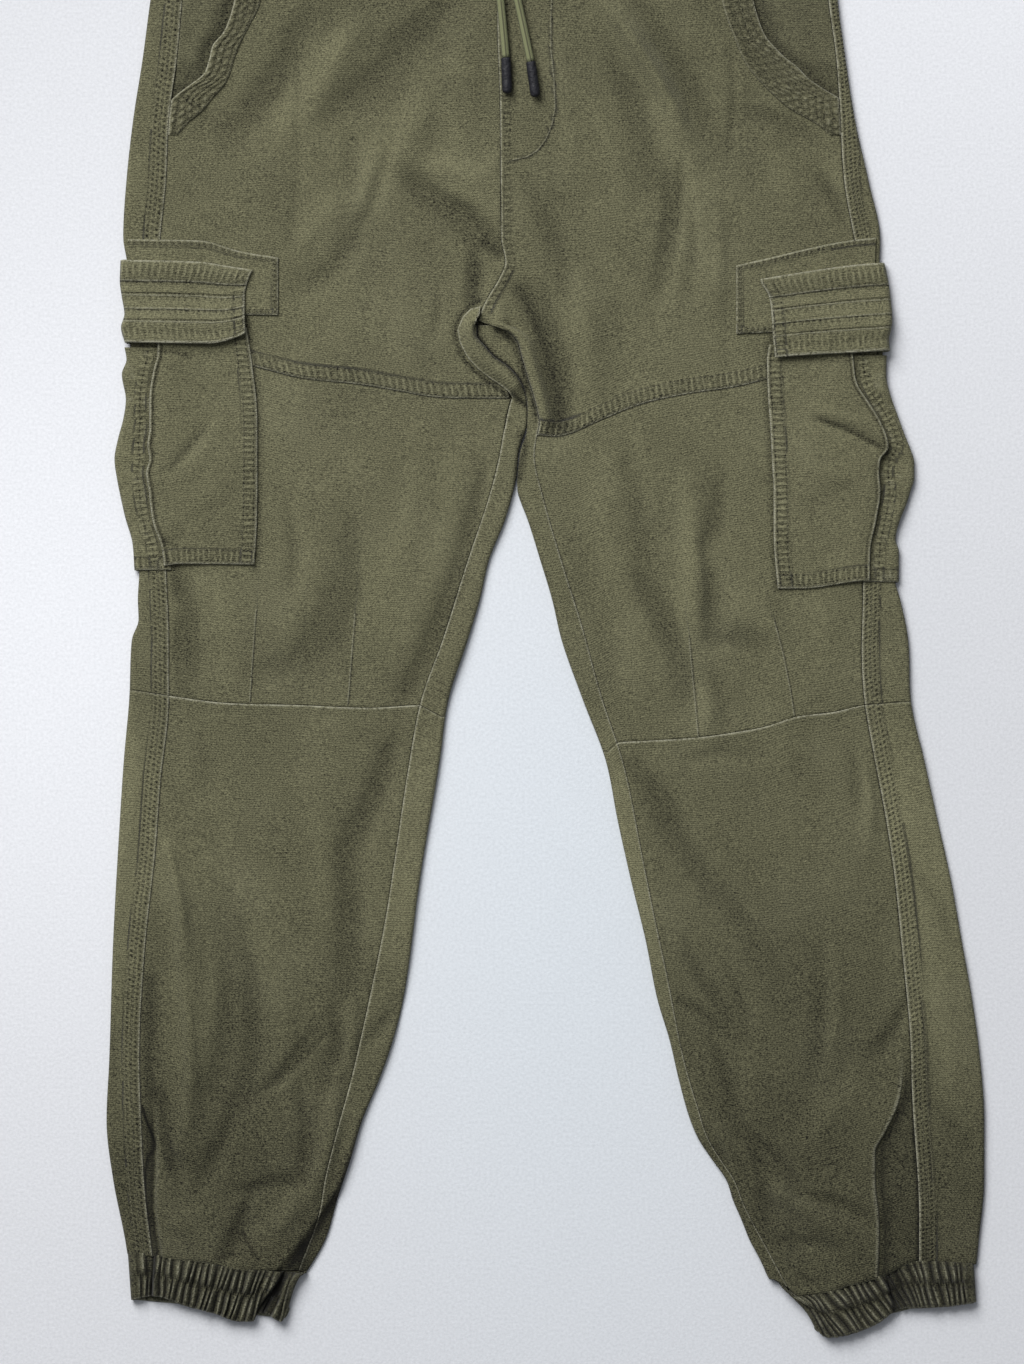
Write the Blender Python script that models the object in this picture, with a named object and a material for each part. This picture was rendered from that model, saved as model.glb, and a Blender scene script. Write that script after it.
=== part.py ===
"""Cargo joggers laid flat, face up: every cut piece is a thin wall of cloth.

Places on the garment are in millimetres: "across" is measured from the centre front, minus towards
the wearer's right, and "down" from the top of the waistband. at() turns them into the model's metres.
"""

import math

import bmesh
import bpy
import numpy as np
from mathutils import Vector

MM = 0.001
CENTRE_FRONT_X = -34.05  # centre front in the model's frame, mm
WAIST_TOP_Y = 544.5  # top of the waistband in the model's frame, mm

CLOTH = 1.2  # wall of the cotton twill, mm
POCKET_CLOTH = 1.4
FLAP_CLOTH = 1.5
BAND_CLOTH = 1.0
CUFF_CLOTH = 1.6
SEAM = 0.17  # half the gap between two pieces at a seam
AIR = 0.35  # gap between a piece and the one it lies on
LAID = 5.2  # height of the front's face over the floor, the panels lying on each other
FOLD_RADIUS = 3.4  # how far a rounded side fold reaches in
POCKET_LAYER = 1.9  # how much the back is lifted where pocket and flap pass under it
PLAIN = 0.45  # how far the inside's plain faces may leave the finer outer form
WAIST_SEAM = 41.0
WAISTBAND_HEIGHT = 6.6
WAIST_GATHERS = 24
CORD = 6.0
AGLET = 7.5
AGLET_LENGTH = 27.0

OUTWARD = {"r": -1.0, "l": 1.0}
SIDES = ("r", "l")

# Fold at the outer side of each leg: down, across
OUTER = {
    "r": ((0, -249), (41, -255), (86, -262), (131, -268), (176, -275), (221, -280), (264, -282.5),
          (283, -279.5), (311, -277), (386, -277), (431, -278), (461, -277), (491, -272.5),
          (516, -270.5), (536, -271.5), (551, -271), (566, -276), (611, -278), (656, -282),
          (701, -285), (791, -290), (881, -293), (926, -295), (971, -290), (1016, -281),
          (1036, -278)),
    "l": ((0, 244), (41, 249), (86, 253), (131, 259), (176, 266), (221, 276), (266, 285),
          (283, 284.5), (311, 288), (349, 287), (371, 285), (395, 291), (433, 297), (465, 297.5),
          (491, 293), (520, 295.5), (536, 300), (566, 306), (611, 308), (656, 318), (701, 328),
          (746, 338), (791, 346), (836, 354), (881, 360), (926, 363), (971, 363), (1016, 359),
          (1036, 357)),
}
# Seat seam on the floor, then the fold at the inner side of each leg: down, across
INNER = {
    "r": ((41, 0), (220, 0), (266, -1), (290, -5), (313, -12), (328, -17), (338, -17), (346, -11),
          (354, -4), (361, 6), (370, 14), (380, 18.5), (395, 20.5), (403, 20.3), (412, 18.3),
          (418, 16.2), (424, 14.5), (446, 12), (476, 4), (506, -8), (536, -15), (566, -24),
          (611, -38), (656, -44), (746, -58), (836, -70), (866, -78), (896, -88), (926, -100),
          (956, -108), (986, -118), (1016, -126), (1046, -147)),
    "l": ((41, 0), (220, 0), (266, -1), (290, -5), (313, -12), (328, -17), (338, -17), (346, -11),
          (354, -4), (361, 6), (370, 14), (380, 18.5), (395, 20.5), (403, 20.3), (412, 19.5),
          (424, 19.5), (434, 18.2), (446, 15.5), (461, 16), (476, 21), (506, 30), (536, 39),
          (566, 46), (611, 62), (656, 79), (701, 88), (746, 98), (791, 109), (836, 118), (866, 127),
          (896, 134), (926, 143), (956, 157), (986, 170), (1016, 182), (1046, 197), (1060, 206)),
}
# Side seam, on the front face: down, across
SIDE_SEAM = {
    "r": ((41, -235), (86, -238), (131, -242), (176, -248), (221, -250), (280, -255), (416, -253),
          (514, -250), (566, -248), (611, -248), (671, -254), (724, -258), (799, -266), (881, -270),
          (919, -269), (979, -266), (1030, -260)),
    "l": ((41, 243), (86, 246), (131, 252), (176, 255), (225, 258), (283, 268), (341, 270),
          (529, 272), (574, 271), (611, 273), (652, 280), (694, 288), (739, 295), (806, 302),
          (859, 307), (911, 309), (998, 314), (1040, 314)),
}
# Inseam on the front face, where the back comes round the inner fold: down, across
INSEAM = {
    "r": ((386, 8), (398, 5), (409, 3), (431, -1), (458, -8), (506, -24), (566, -43), (611, -59),
          (664, -69), (724, -78), (776, -86), (840, -99), (889, -110), (934, -122), (970, -131),
          (998, -136), (1036, -150)),
    "l": ((326, -14), (331, 1), (337, 8), (343, 13), (352, 15.5), (364, 19), (371, 21), (380, 24),
          (395, 28), (404, 29.5), (412, 28), (428, 26), (461, 33), (506, 46), (557, 62), (608, 76),
          (660, 93), (724, 106), (769, 115), (821, 126), (881, 138), (919, 147), (940, 154),
          (962, 166), (990, 183), (1024, 201), (1056, 217)),
}
# Centre front seam down to where the four panels meet, then the front's free edge: down, across
FRONT_EDGE = {
    "r": ((41, 0), (101, -2), (161, 0), (266, 1), (283, 4), (296, -1), (311, -10), (320, -14),
          (326, -17), (331, -20.5), (339, -20.5), (346, -15.5), (354, -9), (361, -2), (370, 3),
          (386, 7.6)),
    "l": ((41, 0), (101, -2), (161, 0), (266, 1), (283, 4), (296, -1), (311, -10), (320, -14),
          (326, -14), (331, 1), (337, 8), (343, 13), (352, 15.5), (364, 19), (371, 21), (380, 24),
          (395, 28), (404, 29.5), (412, 28)),
}
# Slanted edge of the hip pocket opening, down to its corner on the side seam: down, across
OPENING = {
    "r": ((41, -193), (86, -199), (101, -203), (112, -208), (120, -215), (131, -218), (143, -223),
          (150, -232), (156, -240), (162, -247)),
    "l": ((41, 184), (86, 190), (98, 193), (115, 200), (122, 206), (130, 214), (137, 223),
          (146, 232), (153, 242), (160, 254)),
}
# Inner edge of the stitched band along the opening, carried on below it: down, across
BAND_EDGE = {
    "r": ((41, -174), (90, -180), (112, -191), (128, -198), (150, -206), (159, -214), (170, -223),
          (180, -235), (190, -241), (221, -240), (280, -240), (416, -238)),
    "l": ((41, 161), (90, 167), (116, 176), (136, 185), (148, 195), (159, 206), (169, 218),
          (179, 236), (190, 247), (225, 247), (283, 254), (416, 256)),
}
# Seams across the panels: across, down
THIGH_SEAM = {
    "r": ((-285, 341), (-255, 345), (-182, 362), (-150, 370), (-105, 375), (-75, 380), (-52, 384),
          (-24, 385.5), (30, 385.5)),
    "l": ((-40, 413), (29, 413), (40, 414), (52, 412), (75, 402), (105, 390), (135, 383), (180, 376),
          (196, 372), (271, 358), (300, 356)),
}
KNEE_SEAM = {
    "r": ((-300, 601), (-278, 604), (-248, 608), (-210, 613), (-150, 615), (-98, 617), (-59, 615),
          (-43, 623), (-30, 626)),
    "l": ((60, 656), (78, 650), (89, 643), (105, 642), (150, 639), (172, 636), (199, 631),
          (221, 624), (251, 620), (273, 615), (320, 612)),
}
HEM = {
    "r": ((-300, 1023), (-280, 1024), (-259, 1026), (-225, 1032), (-180, 1038), (-155, 1038),
          (-140, 1040)),
    "l": ((195, 1040), (212, 1046), (225, 1057), (250, 1053), (262, 1048), (284, 1042),
          (315, 1031), (357, 1033), (370, 1033)),
}
# Rolled edge of the back where it comes through the crotch onto the right front:
# down at the fold, then across and down of the free edge, and 1 while it lies on the front
ROLLED_EDGE = (
    (331, -14, 316, 1.0), (335, -22, 318, 1.0), (339, -28, 324, 1.0), (344, -32, 334, 1.0),
    (349, -30, 344, 1.0), (354, -25, 354, 1.0), (359, -17, 363, 1.0), (364, -8, 370, 1.0),
    (369, 1, 376, 1.0), (374, 6.5, 380.5, 1.0), (380, 9.3, 384.5, 0.5), (388, 7.6, 389, 0.0),
    (398, 5.4, 398, 0.0), (409, 3.4, 409, 0.0),
)

# Main creases: side, name, from across, down to across, down, half width, height
CREASES = (
    ("r", "hip_under_band", -150, 109, -199, 188, 10, -2.0),
    ("r", "hip_swell", -112, 116, -169, 199, 14, 2.2),
    ("r", "hip_drag", -68, 116, -139, 180, 10, -1.5),
    ("r", "fly_swell", -52, 154, -120, 259, 16, 2.2),
    ("r", "crotch_drag", -75, 221, -8, 270, 9, -2.4),
    ("r", "crotch_rise", -56, 210, -6, 232, 10, 1.8),
    ("r", "hip_long", -111, 199, -118, 274, 8, -1.3),
    ("r", "fly_valley", -19, 280, -21, 313, 5, -2.2),
    ("l", "hip_ridge", 75, 86, 142, 199, 10, 3.2),
    ("l", "hip_side", 99, 86, 154, 191, 9, -2.0),
    ("l", "pleat_drop", 126, 221, 119, 304, 6, -2.2),
    ("l", "pleat_rise", 144, 210, 150, 285, 10, 2.0),
    ("l", "crotch_gutter", 24, 308, 44, 407, 7, -2.2),
    ("l", "crotch_swell", 58, 304, 69, 390, 12, 2.0),
    ("l", "side_bulge", 250, 214, 260, 244, 6, 1.6),
    ("r", "inseam_dip", -14, 439, -71, 608, 7, -1.4),
    ("r", "below_pocket", -239, 556, -239, 578, 5, -1.8),
    ("r", "knee_soft", -122, 521, -150, 585, 11, -1.2),
    ("r", "shin_inner", -88, 656, -116, 731, 8, -1.8),
    ("r", "shin_inner_low", -116, 731, -118, 825, 8, -1.4),
    ("r", "calf_ridge", -248, 731, -232, 941, 12, 3.0),
    ("r", "calf_soft", -204, 784, -214, 904, 11, -1.5),
    ("r", "hem_diagonal", -141, 862, -178, 904, 5, -1.4),
    ("r", "hem_cross", -195, 980, -148, 973, 5, -1.6),
    ("r", "hem_pull", -188, 985, -208, 1033, 6, -2.2),
    ("l", "thigh_drop", 165, 450, 153, 499, 6, -1.8),
    ("l", "thigh_drop_low", 153, 499, 159, 566, 6, -2.2),
    ("l", "thigh_ridge", 140, 454, 143, 574, 10, 2.6),
    ("l", "thigh_hook", 159, 566, 190, 572, 5, -1.6),
    ("l", "knee_soft", 105, 525, 142, 596, 10, -1.5),
    ("l", "knee_ridge", 148, 596, 156, 638, 7, 1.6),
    ("l", "shin_diagonal", 94, 660, 146, 739, 8, -1.6),
    ("l", "shin_diagonal_low", 146, 739, 202, 810, 8, -1.2),
    ("l", "calf_soft", 141, 806, 182, 883, 6, -1.3),
    ("l", "hem_diagonal", 184, 938, 225, 982, 6, -2.0),
    ("l", "hem_diagonal_low", 225, 982, 281, 1007, 6, -2.0),
    ("l", "hem_swell", 199, 975, 270, 1028, 9, 2.2),
)
# Edge of the pleat that falls over the side seam above each hem: down, across
PLEAT = {
    "r": ((611, -241), (731, -251), (836, -260), (919, -259), (956, -258), (986, -259), (1030, -254)),
    "l": ((611, 266), (739, 288), (859, 300), (881, 303), (911, 300), (936, 289), (950, 282),
          (971, 282), (1005, 285), (1043, 284)),
}
PLEAT_TOP = {"r": 900.0, "l": 872.0}
PLEAT_RISE = {"r": 2.2, "l": 3.0}

# Cargo pocket: down, across of the edge towards the fly, across of the free edge over the bellows
POCKET = {
    "r": ((332, -190, -256.5), (352, -186.5, -256.5), (364, -185, -259.5), (386, -182.3, -262.5),
          (409, -181.5, -262.5), (420, -181.5, -264), (431, -181.5, -262.5), (441, -181.5, -265),
          (454, -181.5, -263), (465, -181.7, -262), (480, -182, -259.5), (495, -182.8, -254),
          (512, -184, -251.5)),
    "l": ((345, 201.5, 264), (357, 200, 265), (375, 200.5, 268), (388, 201, 276), (400, 202, 283.5),
          (415, 203, 290), (422, 203.3, 291), (431, 203.7, 285), (442, 204.3, 284), (454, 205, 285),
          (476, 205, 282), (499, 205.5, 277.5), (527, 208, 277)),
}
# Lower edge of the cargo pocket: across, down
POCKET_FOOT = {
    "r": ((-282, 514), (-268, 514.5), (-251, 511), (-240, 509.5), (-184, 510)),
    "l": ((208, 528), (225, 528), (277, 522), (299, 523.5)),
}
# Outer fold of the bellows: down, across
BELLOWS = {
    "r": ((347, -281.5), (356, -280), (367, -283.5), (386, -280.5), (401, -282.5), (416, -286.5),
          (431, -289), (446, -287), (461, -284), (476, -280.5), (491, -276), (514, -274)),
    "l": ((352, 290), (367, 289.5), (382, 292.5), (395, 297), (414, 304), (424, 308), (433, 310.5),
          (445, 310.5), (454, 308), (465, 304.5), (476, 300), (491, 296.5), (500, 299), (524, 299)),
}
BELLOWS_TOP = {"r": 347.0, "l": 353.0}
# Flap: down, across of the edge towards the fly, across of the outer fold
FLAP = {
    "r": ((283, -182, -284.5), (297, -188.5, -285), (309, -191, -283.5), (322, -191, -281.5),
          (332, -190.5, -284), (344, -189.5, -281)),
    "l": ((290, 194.5, 289.5), (300, 196, 291.5), (308, 201, 292.5), (326, 203.5, 294), (334, 204, 293),
          (341, 204.5, 291.5), (351, 205.5, 292.5)),
}
# Upper and lower edge of the flap, and of the reinforcing patch behind it: across, down
FLAP_HEAD = {"r": ((-286, 281.5), (-225, 283), (-205, 286), (-182, 289.5)),
             "l": ((194.5, 296), (225, 291), (268, 285), (292, 283.5))}
FLAP_FOOT = {"r": ((-286, 343.5), (-218, 344.5), (-195, 339), (-188, 335)),
             "l": ((205, 355), (232, 353), (270, 351), (293, 349.5))}
PATCH_HEAD = {"r": ((-286, 266), (-225, 267), (-195, 275), (-165, 280)),
              "l": ((176, 286), (210, 278), (240, 271), (262, 267), (290, 264))}
PATCH_FOOT = {"r": ((-286, 322), (-165, 323)), "l": ((176, 337), (200, 336), (290, 330))}
PATCH_EDGE = {"r": -166.0, "l": 177.0}
UNDER_REACH = 32.0  # how far flap and bellows go on under the leg
RAMP = (37.0, 49.0)  # how far in from its fold the back starts down to the floor, and is down on it

# Cuffs: down, across of each end, at the hem and at the free edge
CUFF = {
    "r": {"head": ((-280, 1024.5), (-259, 1026.5), (-225, 1032.5), (-180, 1038.5), (-144, 1041)),
          "foot": ((-277, 1061), (-260, 1058), (-236, 1065), (-214, 1071), (-195, 1077),
                   (-183, 1075), (-172, 1066), (-164, 1077), (-157, 1063)),
          "ends": ((-279, -145), (-276.5, -158)), "gathers": 20, "slant": -6.0},
    "l": {"head": ((213, 1047.5), (225, 1057.5), (250, 1053.5), (262, 1048.5), (284, 1042.5),
                   (315, 1031.5), (356, 1033.5)),
          "foot": ((232, 1074), (246, 1089), (259, 1087.5), (284, 1078), (295, 1070), (304, 1067),
                   (334, 1066), (357, 1062.5)),
          "ends": ((214, 355), (238, 357)), "gathers": 22, "slant": 6.0},
}

# Drawstring: across and down of the route's points, from its buttonhole in the waistband
DRAWSTRING = {
    "r": ((-10.5, 16), (-9, 30), (-6.5, 44), (-3.5, 62), (-0.5, 80), (1.2, 96), (2.8, 112), (4.4, 130)),
    "l": ((6, 16), (7, 30), (8.5, 44), (10, 62), (11.8, 80), (15.6, 98), (19, 114), (23, 133)),
}
AGLET_AIM = {"r": (5.6, 160.5), "l": (27, 161.5)}

# Soft folds of the pocket faces: side, from across, down to across, down, half width, height
POCKET_CREASES = (
    ("r", -225, 394, -247, 428, 7, -0.8),
    ("r", -215, 400, -205, 470, 10, 0.8),
    ("l", 236, 404, 284, 424, 5, 1.6),
    ("l", 236, 390, 275, 408, 6, -0.8),
    ("l", 240, 440, 272, 448, 9, 0.8),
)
# Flap from its upper edge to its lower one, as shares of its height, and how far each row is raised
FLAP_ROWS = (0.0, 0.13, 0.24, 0.30, 0.38, 0.46, 0.54, 0.62, 0.70, 0.80, 0.88, 0.94, 1.0)
FLAP_RAISED = (0.0, 0.5, 0.0, -0.1, 0.6, -0.1, 0.6, -0.1, 0.6, 0.5, -0.1, 0.5, 0.1)

# Grids of the walls: columns and rows
FRONT_COLUMNS = 7  # across the plain of a front, from the pocket's band to its edge at the fly
STRIP, FOLD, FLOOR, INSET = 2, 4, 4, 3  # columns on the strip in front, a fold, the floor, the inner strip
COLUMNS = STRIP + FOLD + FLOOR + FOLD + INSET
CALF_ROWS = 16
BAND_COLUMNS = 2
FACING_COLUMNS = 4
PATCH_COLUMNS, PATCH_ROWS = 5, 3
POCKET_COLUMNS, POCKET_ROWS = 8, 12
BELLOWS_ROWS = 11
FLAP_COLUMNS = 6
RING_RADIUS = 3.4  # ends of the flattened waistband and cuffs
CORD_ROWS = 19

MATERIALS = {
    "olive_twill": ((0.118, 0.112, 0.072), 0.88),
    "shaded_twill": ((0.090, 0.086, 0.055), 0.90),
    "cord_green": ((0.170, 0.180, 0.085), 0.75),
    "dark_tip": ((0.026, 0.027, 0.032), 0.45),
}


# ---------------------------------------------------------------- helpers


def curve(rows):
    """A smooth function through (place, value) rows, straight beyond the ends."""
    t = np.array([row[0] for row in rows], float)
    v = np.array([row[1] for row in rows], float)
    slopes = np.diff(v) / np.diff(t)
    inner = np.where(slopes[:-1] * slopes[1:] > 0, 0.5 * (slopes[:-1] + slopes[1:]), 0.0)
    limit = 2.5 * np.minimum(abs(slopes[:-1]), abs(slopes[1:]))
    tangent = np.concatenate(([slopes[0]], np.clip(inner, -limit, limit), [slopes[-1]]))

    def read(x):
        k = int(np.clip(np.searchsorted(t, x) - 1, 0, len(t) - 2))
        step = t[k + 1] - t[k]
        f = (x - t[k]) / step
        if f < 0:
            return float(v[0] + tangent[0] * (x - t[0]))
        if f > 1:
            return float(v[-1] + tangent[-1] * (x - t[-1]))
        return float(v[k] * (1 + 2 * f) * (1 - f) ** 2 + tangent[k] * step * f * (1 - f) ** 2
                     + v[k + 1] * f * f * (3 - 2 * f) + tangent[k + 1] * step * f * f * (f - 1))

    return read


def both(tables):
    """One smooth function for each side."""
    return {side: curve(tables[side]) for side in SIDES}


def ease(low, high, x):
    """From 0 at low to 1 at high, level at both ends."""
    f = min(max((x - low) / (high - low), 0.0), 1.0)
    return f * f * (3 - 2 * f)


def mix(a, b, f):
    """From a at 0 to b at 1."""
    return a + (b - a) * f


def at(across, down, height):
    """A place on the garment as a point of the model."""
    return Vector(((CENTRE_FRONT_X + across) * MM, (WAIST_TOP_Y - down) * MM, height * MM))


outer, inner, side_seam, inseam = both(OUTER), both(INNER), both(SIDE_SEAM), both(INSEAM)
front_edge, opening, band_edge = both(FRONT_EDGE), both(OPENING), both(BAND_EDGE)
thigh_seam, knee_seam, hem, pleat = both(THIGH_SEAM), both(KNEE_SEAM), both(HEM), both(PLEAT)
pocket_foot, bellows_fold = both(POCKET_FOOT), both(BELLOWS)
flap_head, flap_foot = both(FLAP_HEAD), both(FLAP_FOOT)
patch_head, patch_foot = both(PATCH_HEAD), both(PATCH_FOOT)


# ---------------------------------------------------------------- the cloth's face


def calm(side, across, down):
    """0 on the stretches under pockets, which lie smooth, and 1 away from them."""
    outwards = OUTWARD[side]
    past_pocket = outwards * (across - PATCH_EDGE[side])
    foot = pocket_foot[side](across)
    cargo = ease(-14, 0, past_pocket) * ease(250, 262, down) * (1 - ease(foot + 1, foot + 16, down))
    past_band = outwards * (across - band_edge[side](down))
    hip = ease(-14, 0, past_band) * (1 - ease(196, 210, down))
    return (1 - cargo) * (1 - hip)


def crease_rise(side, across, down):
    """Height that the main creases add to the face."""
    total = 0.0
    for crease_side, _, x0, y0, x1, y1, half_width, height in CREASES:
        if crease_side != side:
            continue
        along = ((across - x0) * (x1 - x0) + (down - y0) * (y1 - y0)) / ((x1 - x0) ** 2 + (y1 - y0) ** 2)
        along = min(max(along, 0.0), 1.0)
        apart = math.hypot(across - mix(x0, x1, along), down - mix(y0, y1, along)) / half_width
        if apart < 3:
            total += height * math.exp(-apart * apart)
    return total


def roll_rise(side, across, down):
    """The rolled ridge of the left front beside the crotch."""
    if side != "l" or not 318 < down < 420:
        return 0.0
    apart = (across - (inseam["l"](max(down, 331)) + 5.5)) / 6.0
    if abs(apart) >= 1:
        return 0.0
    return 4.6 * (1 - apart * apart) ** 2 * ease(320, 334, down) * (1 - ease(398, 416, down))


def pleat_rise(side, across, down):
    """The cloth gathered into the hem stands over the side seam."""
    inside = -OUTWARD[side] * (across - pleat[side](down))
    swell = ease(0.0, 1.6, inside) * (1 - 0.75 * ease(18, 95, inside))
    return PLEAT_RISE[side] * ease(0, 60, down - PLEAT_TOP[side]) * swell


def face(side, across, down):
    """Height of the garment's face over the floor."""
    loose = calm(side, across, down)
    rise = crease_rise(side, across, down) * loose
    rise += roll_rise(side, across, down) + pleat_rise(side, across, down)
    return LAID + max(rise, -2.1)


def lifted(side, across, down):
    """How high the back lies over the floor: it lies on what passes under it."""
    reach = OUTWARD[side] * (outer[side](down) - across)
    foot = pocket_foot[side](across)
    along = ease(256, 272, down) * (1 - ease(foot + 10, foot + 32, down))
    return POCKET_LAYER * (1 - ease(RAMP[0] + 0.5, RAMP[1] - 0.5, reach)) * along


# ---------------------------------------------------------------- walls


def plain_edges(bm, inside_faces, u_layer, v_layer, loose):
    """Edges of the inside that can go: round the points of loose columns and odd rows that lie flat."""
    corner = {(int(v[u_layer]), int(v[v_layer])): v for f in inside_faces for v in f.verts}
    gone = []
    for (u, v), vert in corner.items():
        ring = [(u + i, v + j) for i in (-1, 0, 1) for j in (-1, 0, 1)]
        if u not in loose or v % 2 == 0 or any(key not in corner for key in ring):
            continue
        if len(vert.link_faces) != 4 or any(f not in inside_faces for f in vert.link_faces):
            continue
        a, b, c, d = (corner[u + i, v + j].co for i in (-1, 1) for j in (-1, 1))
        sides = (((-1, 0), (a + b) / 2), ((1, 0), (c + d) / 2), ((0, -1), (a + c) / 2), ((0, 1), (b + d) / 2),
                 ((0, 0), (a + b + c + d) / 4))
        if all((corner[u + i, v + j].co.z - middle.z) ** 2 < (PLAIN * MM) ** 2 for (i, j), middle in sides):
            gone += vert.link_edges
    return list(set(gone))


def wall(name, columns, rows, outside, inside, material, skip=None, tube=False, loose=()):
    """A closed wall from a grid: outside(u, v) and inside(u, v) place its two faces."""
    bm = bmesh.new()
    bmesh.ops.create_grid(bm, x_segments=columns, y_segments=rows, size=1.0)
    u_layer = bm.verts.layers.float.new("u")
    v_layer = bm.verts.layers.float.new("v")
    for vert in bm.verts:
        vert[u_layer] = round((vert.co.x + 1) / 2 * columns)
        vert[v_layer] = round((vert.co.y + 1) / 2 * rows)
    if skip:
        gone = [f for f in bm.faces if all(skip(v[u_layer], v[v_layer]) for v in f.verts)]
        bmesh.ops.delete(bm, geom=gone, context="FACES")
    for vert in bm.verts:
        vert.co = at(*outside(int(vert[u_layer]), int(vert[v_layer])))
    if tube:
        bmesh.ops.remove_doubles(bm, verts=bm.verts[:], dist=1e-6)
    made = bmesh.ops.extrude_face_region(bm, geom=bm.faces[:])
    for vert in made["geom"]:
        if isinstance(vert, bmesh.types.BMVert):
            vert.co = at(*inside(int(vert[u_layer]), int(vert[v_layer])))
    inside_faces = {f for f in made["geom"] if isinstance(f, bmesh.types.BMFace)}
    spare = plain_edges(bm, inside_faces, u_layer, v_layer, loose)
    bmesh.ops.dissolve_edges(bm, edges=spare, use_verts=True, use_face_split=False)
    bmesh.ops.recalc_face_normals(bm, faces=bm.faces[:])
    mesh = bpy.data.meshes.new(name)
    bm.to_mesh(mesh)
    bm.free()
    return finish(bpy.data.objects.new(name, mesh), material)


def finish(obj, material):
    """Gives an object its material and smooth shading, and links it."""
    obj.data.materials.append(bpy.data.materials[material])
    if obj.type == "MESH":
        obj.data.shade_smooth()
        obj.data.set_sharp_from_angle(angle=math.radians(50))
    bpy.data.collections["cargo_joggers"].objects.link(obj)
    return obj


def upright(height_at, thickness):
    """Inside points of a wall that lies on the garment: straight below, further on a slope."""

    def read(across, down):
        step = 0.5
        slope_x = (height_at(across + step, down) - height_at(across - step, down)) / (2 * step)
        slope_y = (height_at(across, down + step) - height_at(across, down - step)) / (2 * step)
        thick = thickness * min(math.hypot(1.0, math.hypot(slope_x, slope_y)), 1.5)
        return height_at(across, down) - thick

    return read


def spaced(low, high, count):
    """Even steps from low to high, both with it."""
    return [mix(low, high, k / count) for k in range(count + 1)]


# ---------------------------------------------------------------- rows shared along the seams

CROTCH_ROWS = [331, 335, 339, 344, 349, 354, 359, 364, 369, 374, 380, 388, 398, 409]
UPPER_END = {side: thigh_seam[side](0.0) for side in SIDES}
KNEE = {side: knee_seam[side](inseam[side](620 if side == "r" else 650)) for side in SIDES}


def hip_rows():
    """Rows of the fronts down to the crotch, close together round the corner of the hip pocket."""
    return ([WAIST_SEAM + SEAM, 64, 86, 102, 114, 125, 135, 144, 152, 160, 172, 188, 212]
            + spaced(234, 298, 3) + [306, 313, 320, 325.5])


def waist_rows():
    """Rows of the backs down to the crotch."""
    return spaced(WAIST_SEAM + SEAM, 298, 12) + [306, 313, 320, 325.5]


def thigh_rows(side):
    """Rows of the thigh down to the knee seam."""
    return [420, 434, 452] + spaced(474, KNEE[side] - SEAM, 6)


def knee_slant(side, across, down):
    """How far a row of the thigh sinks to follow the knee seam."""
    return (knee_seam[side](across) - KNEE[side]) * ease(440, KNEE[side] - SEAM, down)


def calf_down(side, across, share):
    """Down of a row of the calf, between knee seam and hem."""
    return mix(knee_seam[side](across) + SEAM, hem[side](across) - SEAM, share)


# ---------------------------------------------------------------- fronts


def front_panel(name, side, edges, down_of, rows):
    """A front piece: edges(down) gives the across of its columns, down_of slants its rows."""
    top = upright(lambda x, y: face(side, x, y), CLOTH)
    places = []
    for row in rows:
        for u in range(len(edges(300.0))):
            down = down_of(inseam[side](600), row)
            for _ in range(5):
                across = edges(down)[u]
                down = down_of(across, row)
            places.append((across, down))
    columns = len(edges(300.0)) - 1

    def outside(u, v):
        across, down = places[v * (columns + 1) + u]
        return across, down, face(side, across, down)

    def inside(u, v):
        across, down = places[v * (columns + 1) + u]
        return across, down, max(top(across, down), CLOTH + AIR)

    return wall(name, columns, len(rows) - 1, outside, inside, "olive_twill", loose=range(1, columns, 2))


def upper_edges(side):
    """Columns of the upper front: opening, stitched band, plain and fly."""
    outwards = OUTWARD[side]
    near = (0.0, 3.0, 6.0, 11.0, 24.0) if side == "l" else (0.0, 8.0, 20.0)
    corner = OPENING[side][-1][0]

    def edges(down):
        start = (opening if down < corner else side_seam)[side](down) - outwards * SEAM
        band = band_edge[side](down)
        fly = front_edge[side](down) + outwards * SEAM
        close = [fly + outwards * step for step in reversed(near)]
        return [start, mix(start, band, 0.5)] + spaced(band, close[0], FRONT_COLUMNS)[:-1] + close

    return edges


def calf_edges(side, columns):
    """Columns of the shin: side seam, edge of the pleat, plain and inseam."""
    outwards = OUTWARD[side]

    def edges(down):
        seam = side_seam[side](down) - outwards * SEAM
        fold = pleat[side](down)
        rest = spaced(fold - outwards * 1.6, inseam[side](down) + outwards * SEAM, columns - 2)
        return [seam, fold] + rest

    return edges


def front_upper(side):
    """Front from the waistband to the seam across the thigh."""
    end = UPPER_END[side]
    lower = CROTCH_ROWS if side == "l" else [331, 338, 346, 354, 364, 375]

    def down_of(across, row):
        return row - (end - thigh_seam[side](across)) * ease(180, end - SEAM, row)

    return front_panel(f"front_upper_{side}", side, upper_edges(side), down_of,
                       hip_rows() + lower + [end - SEAM])


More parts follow.
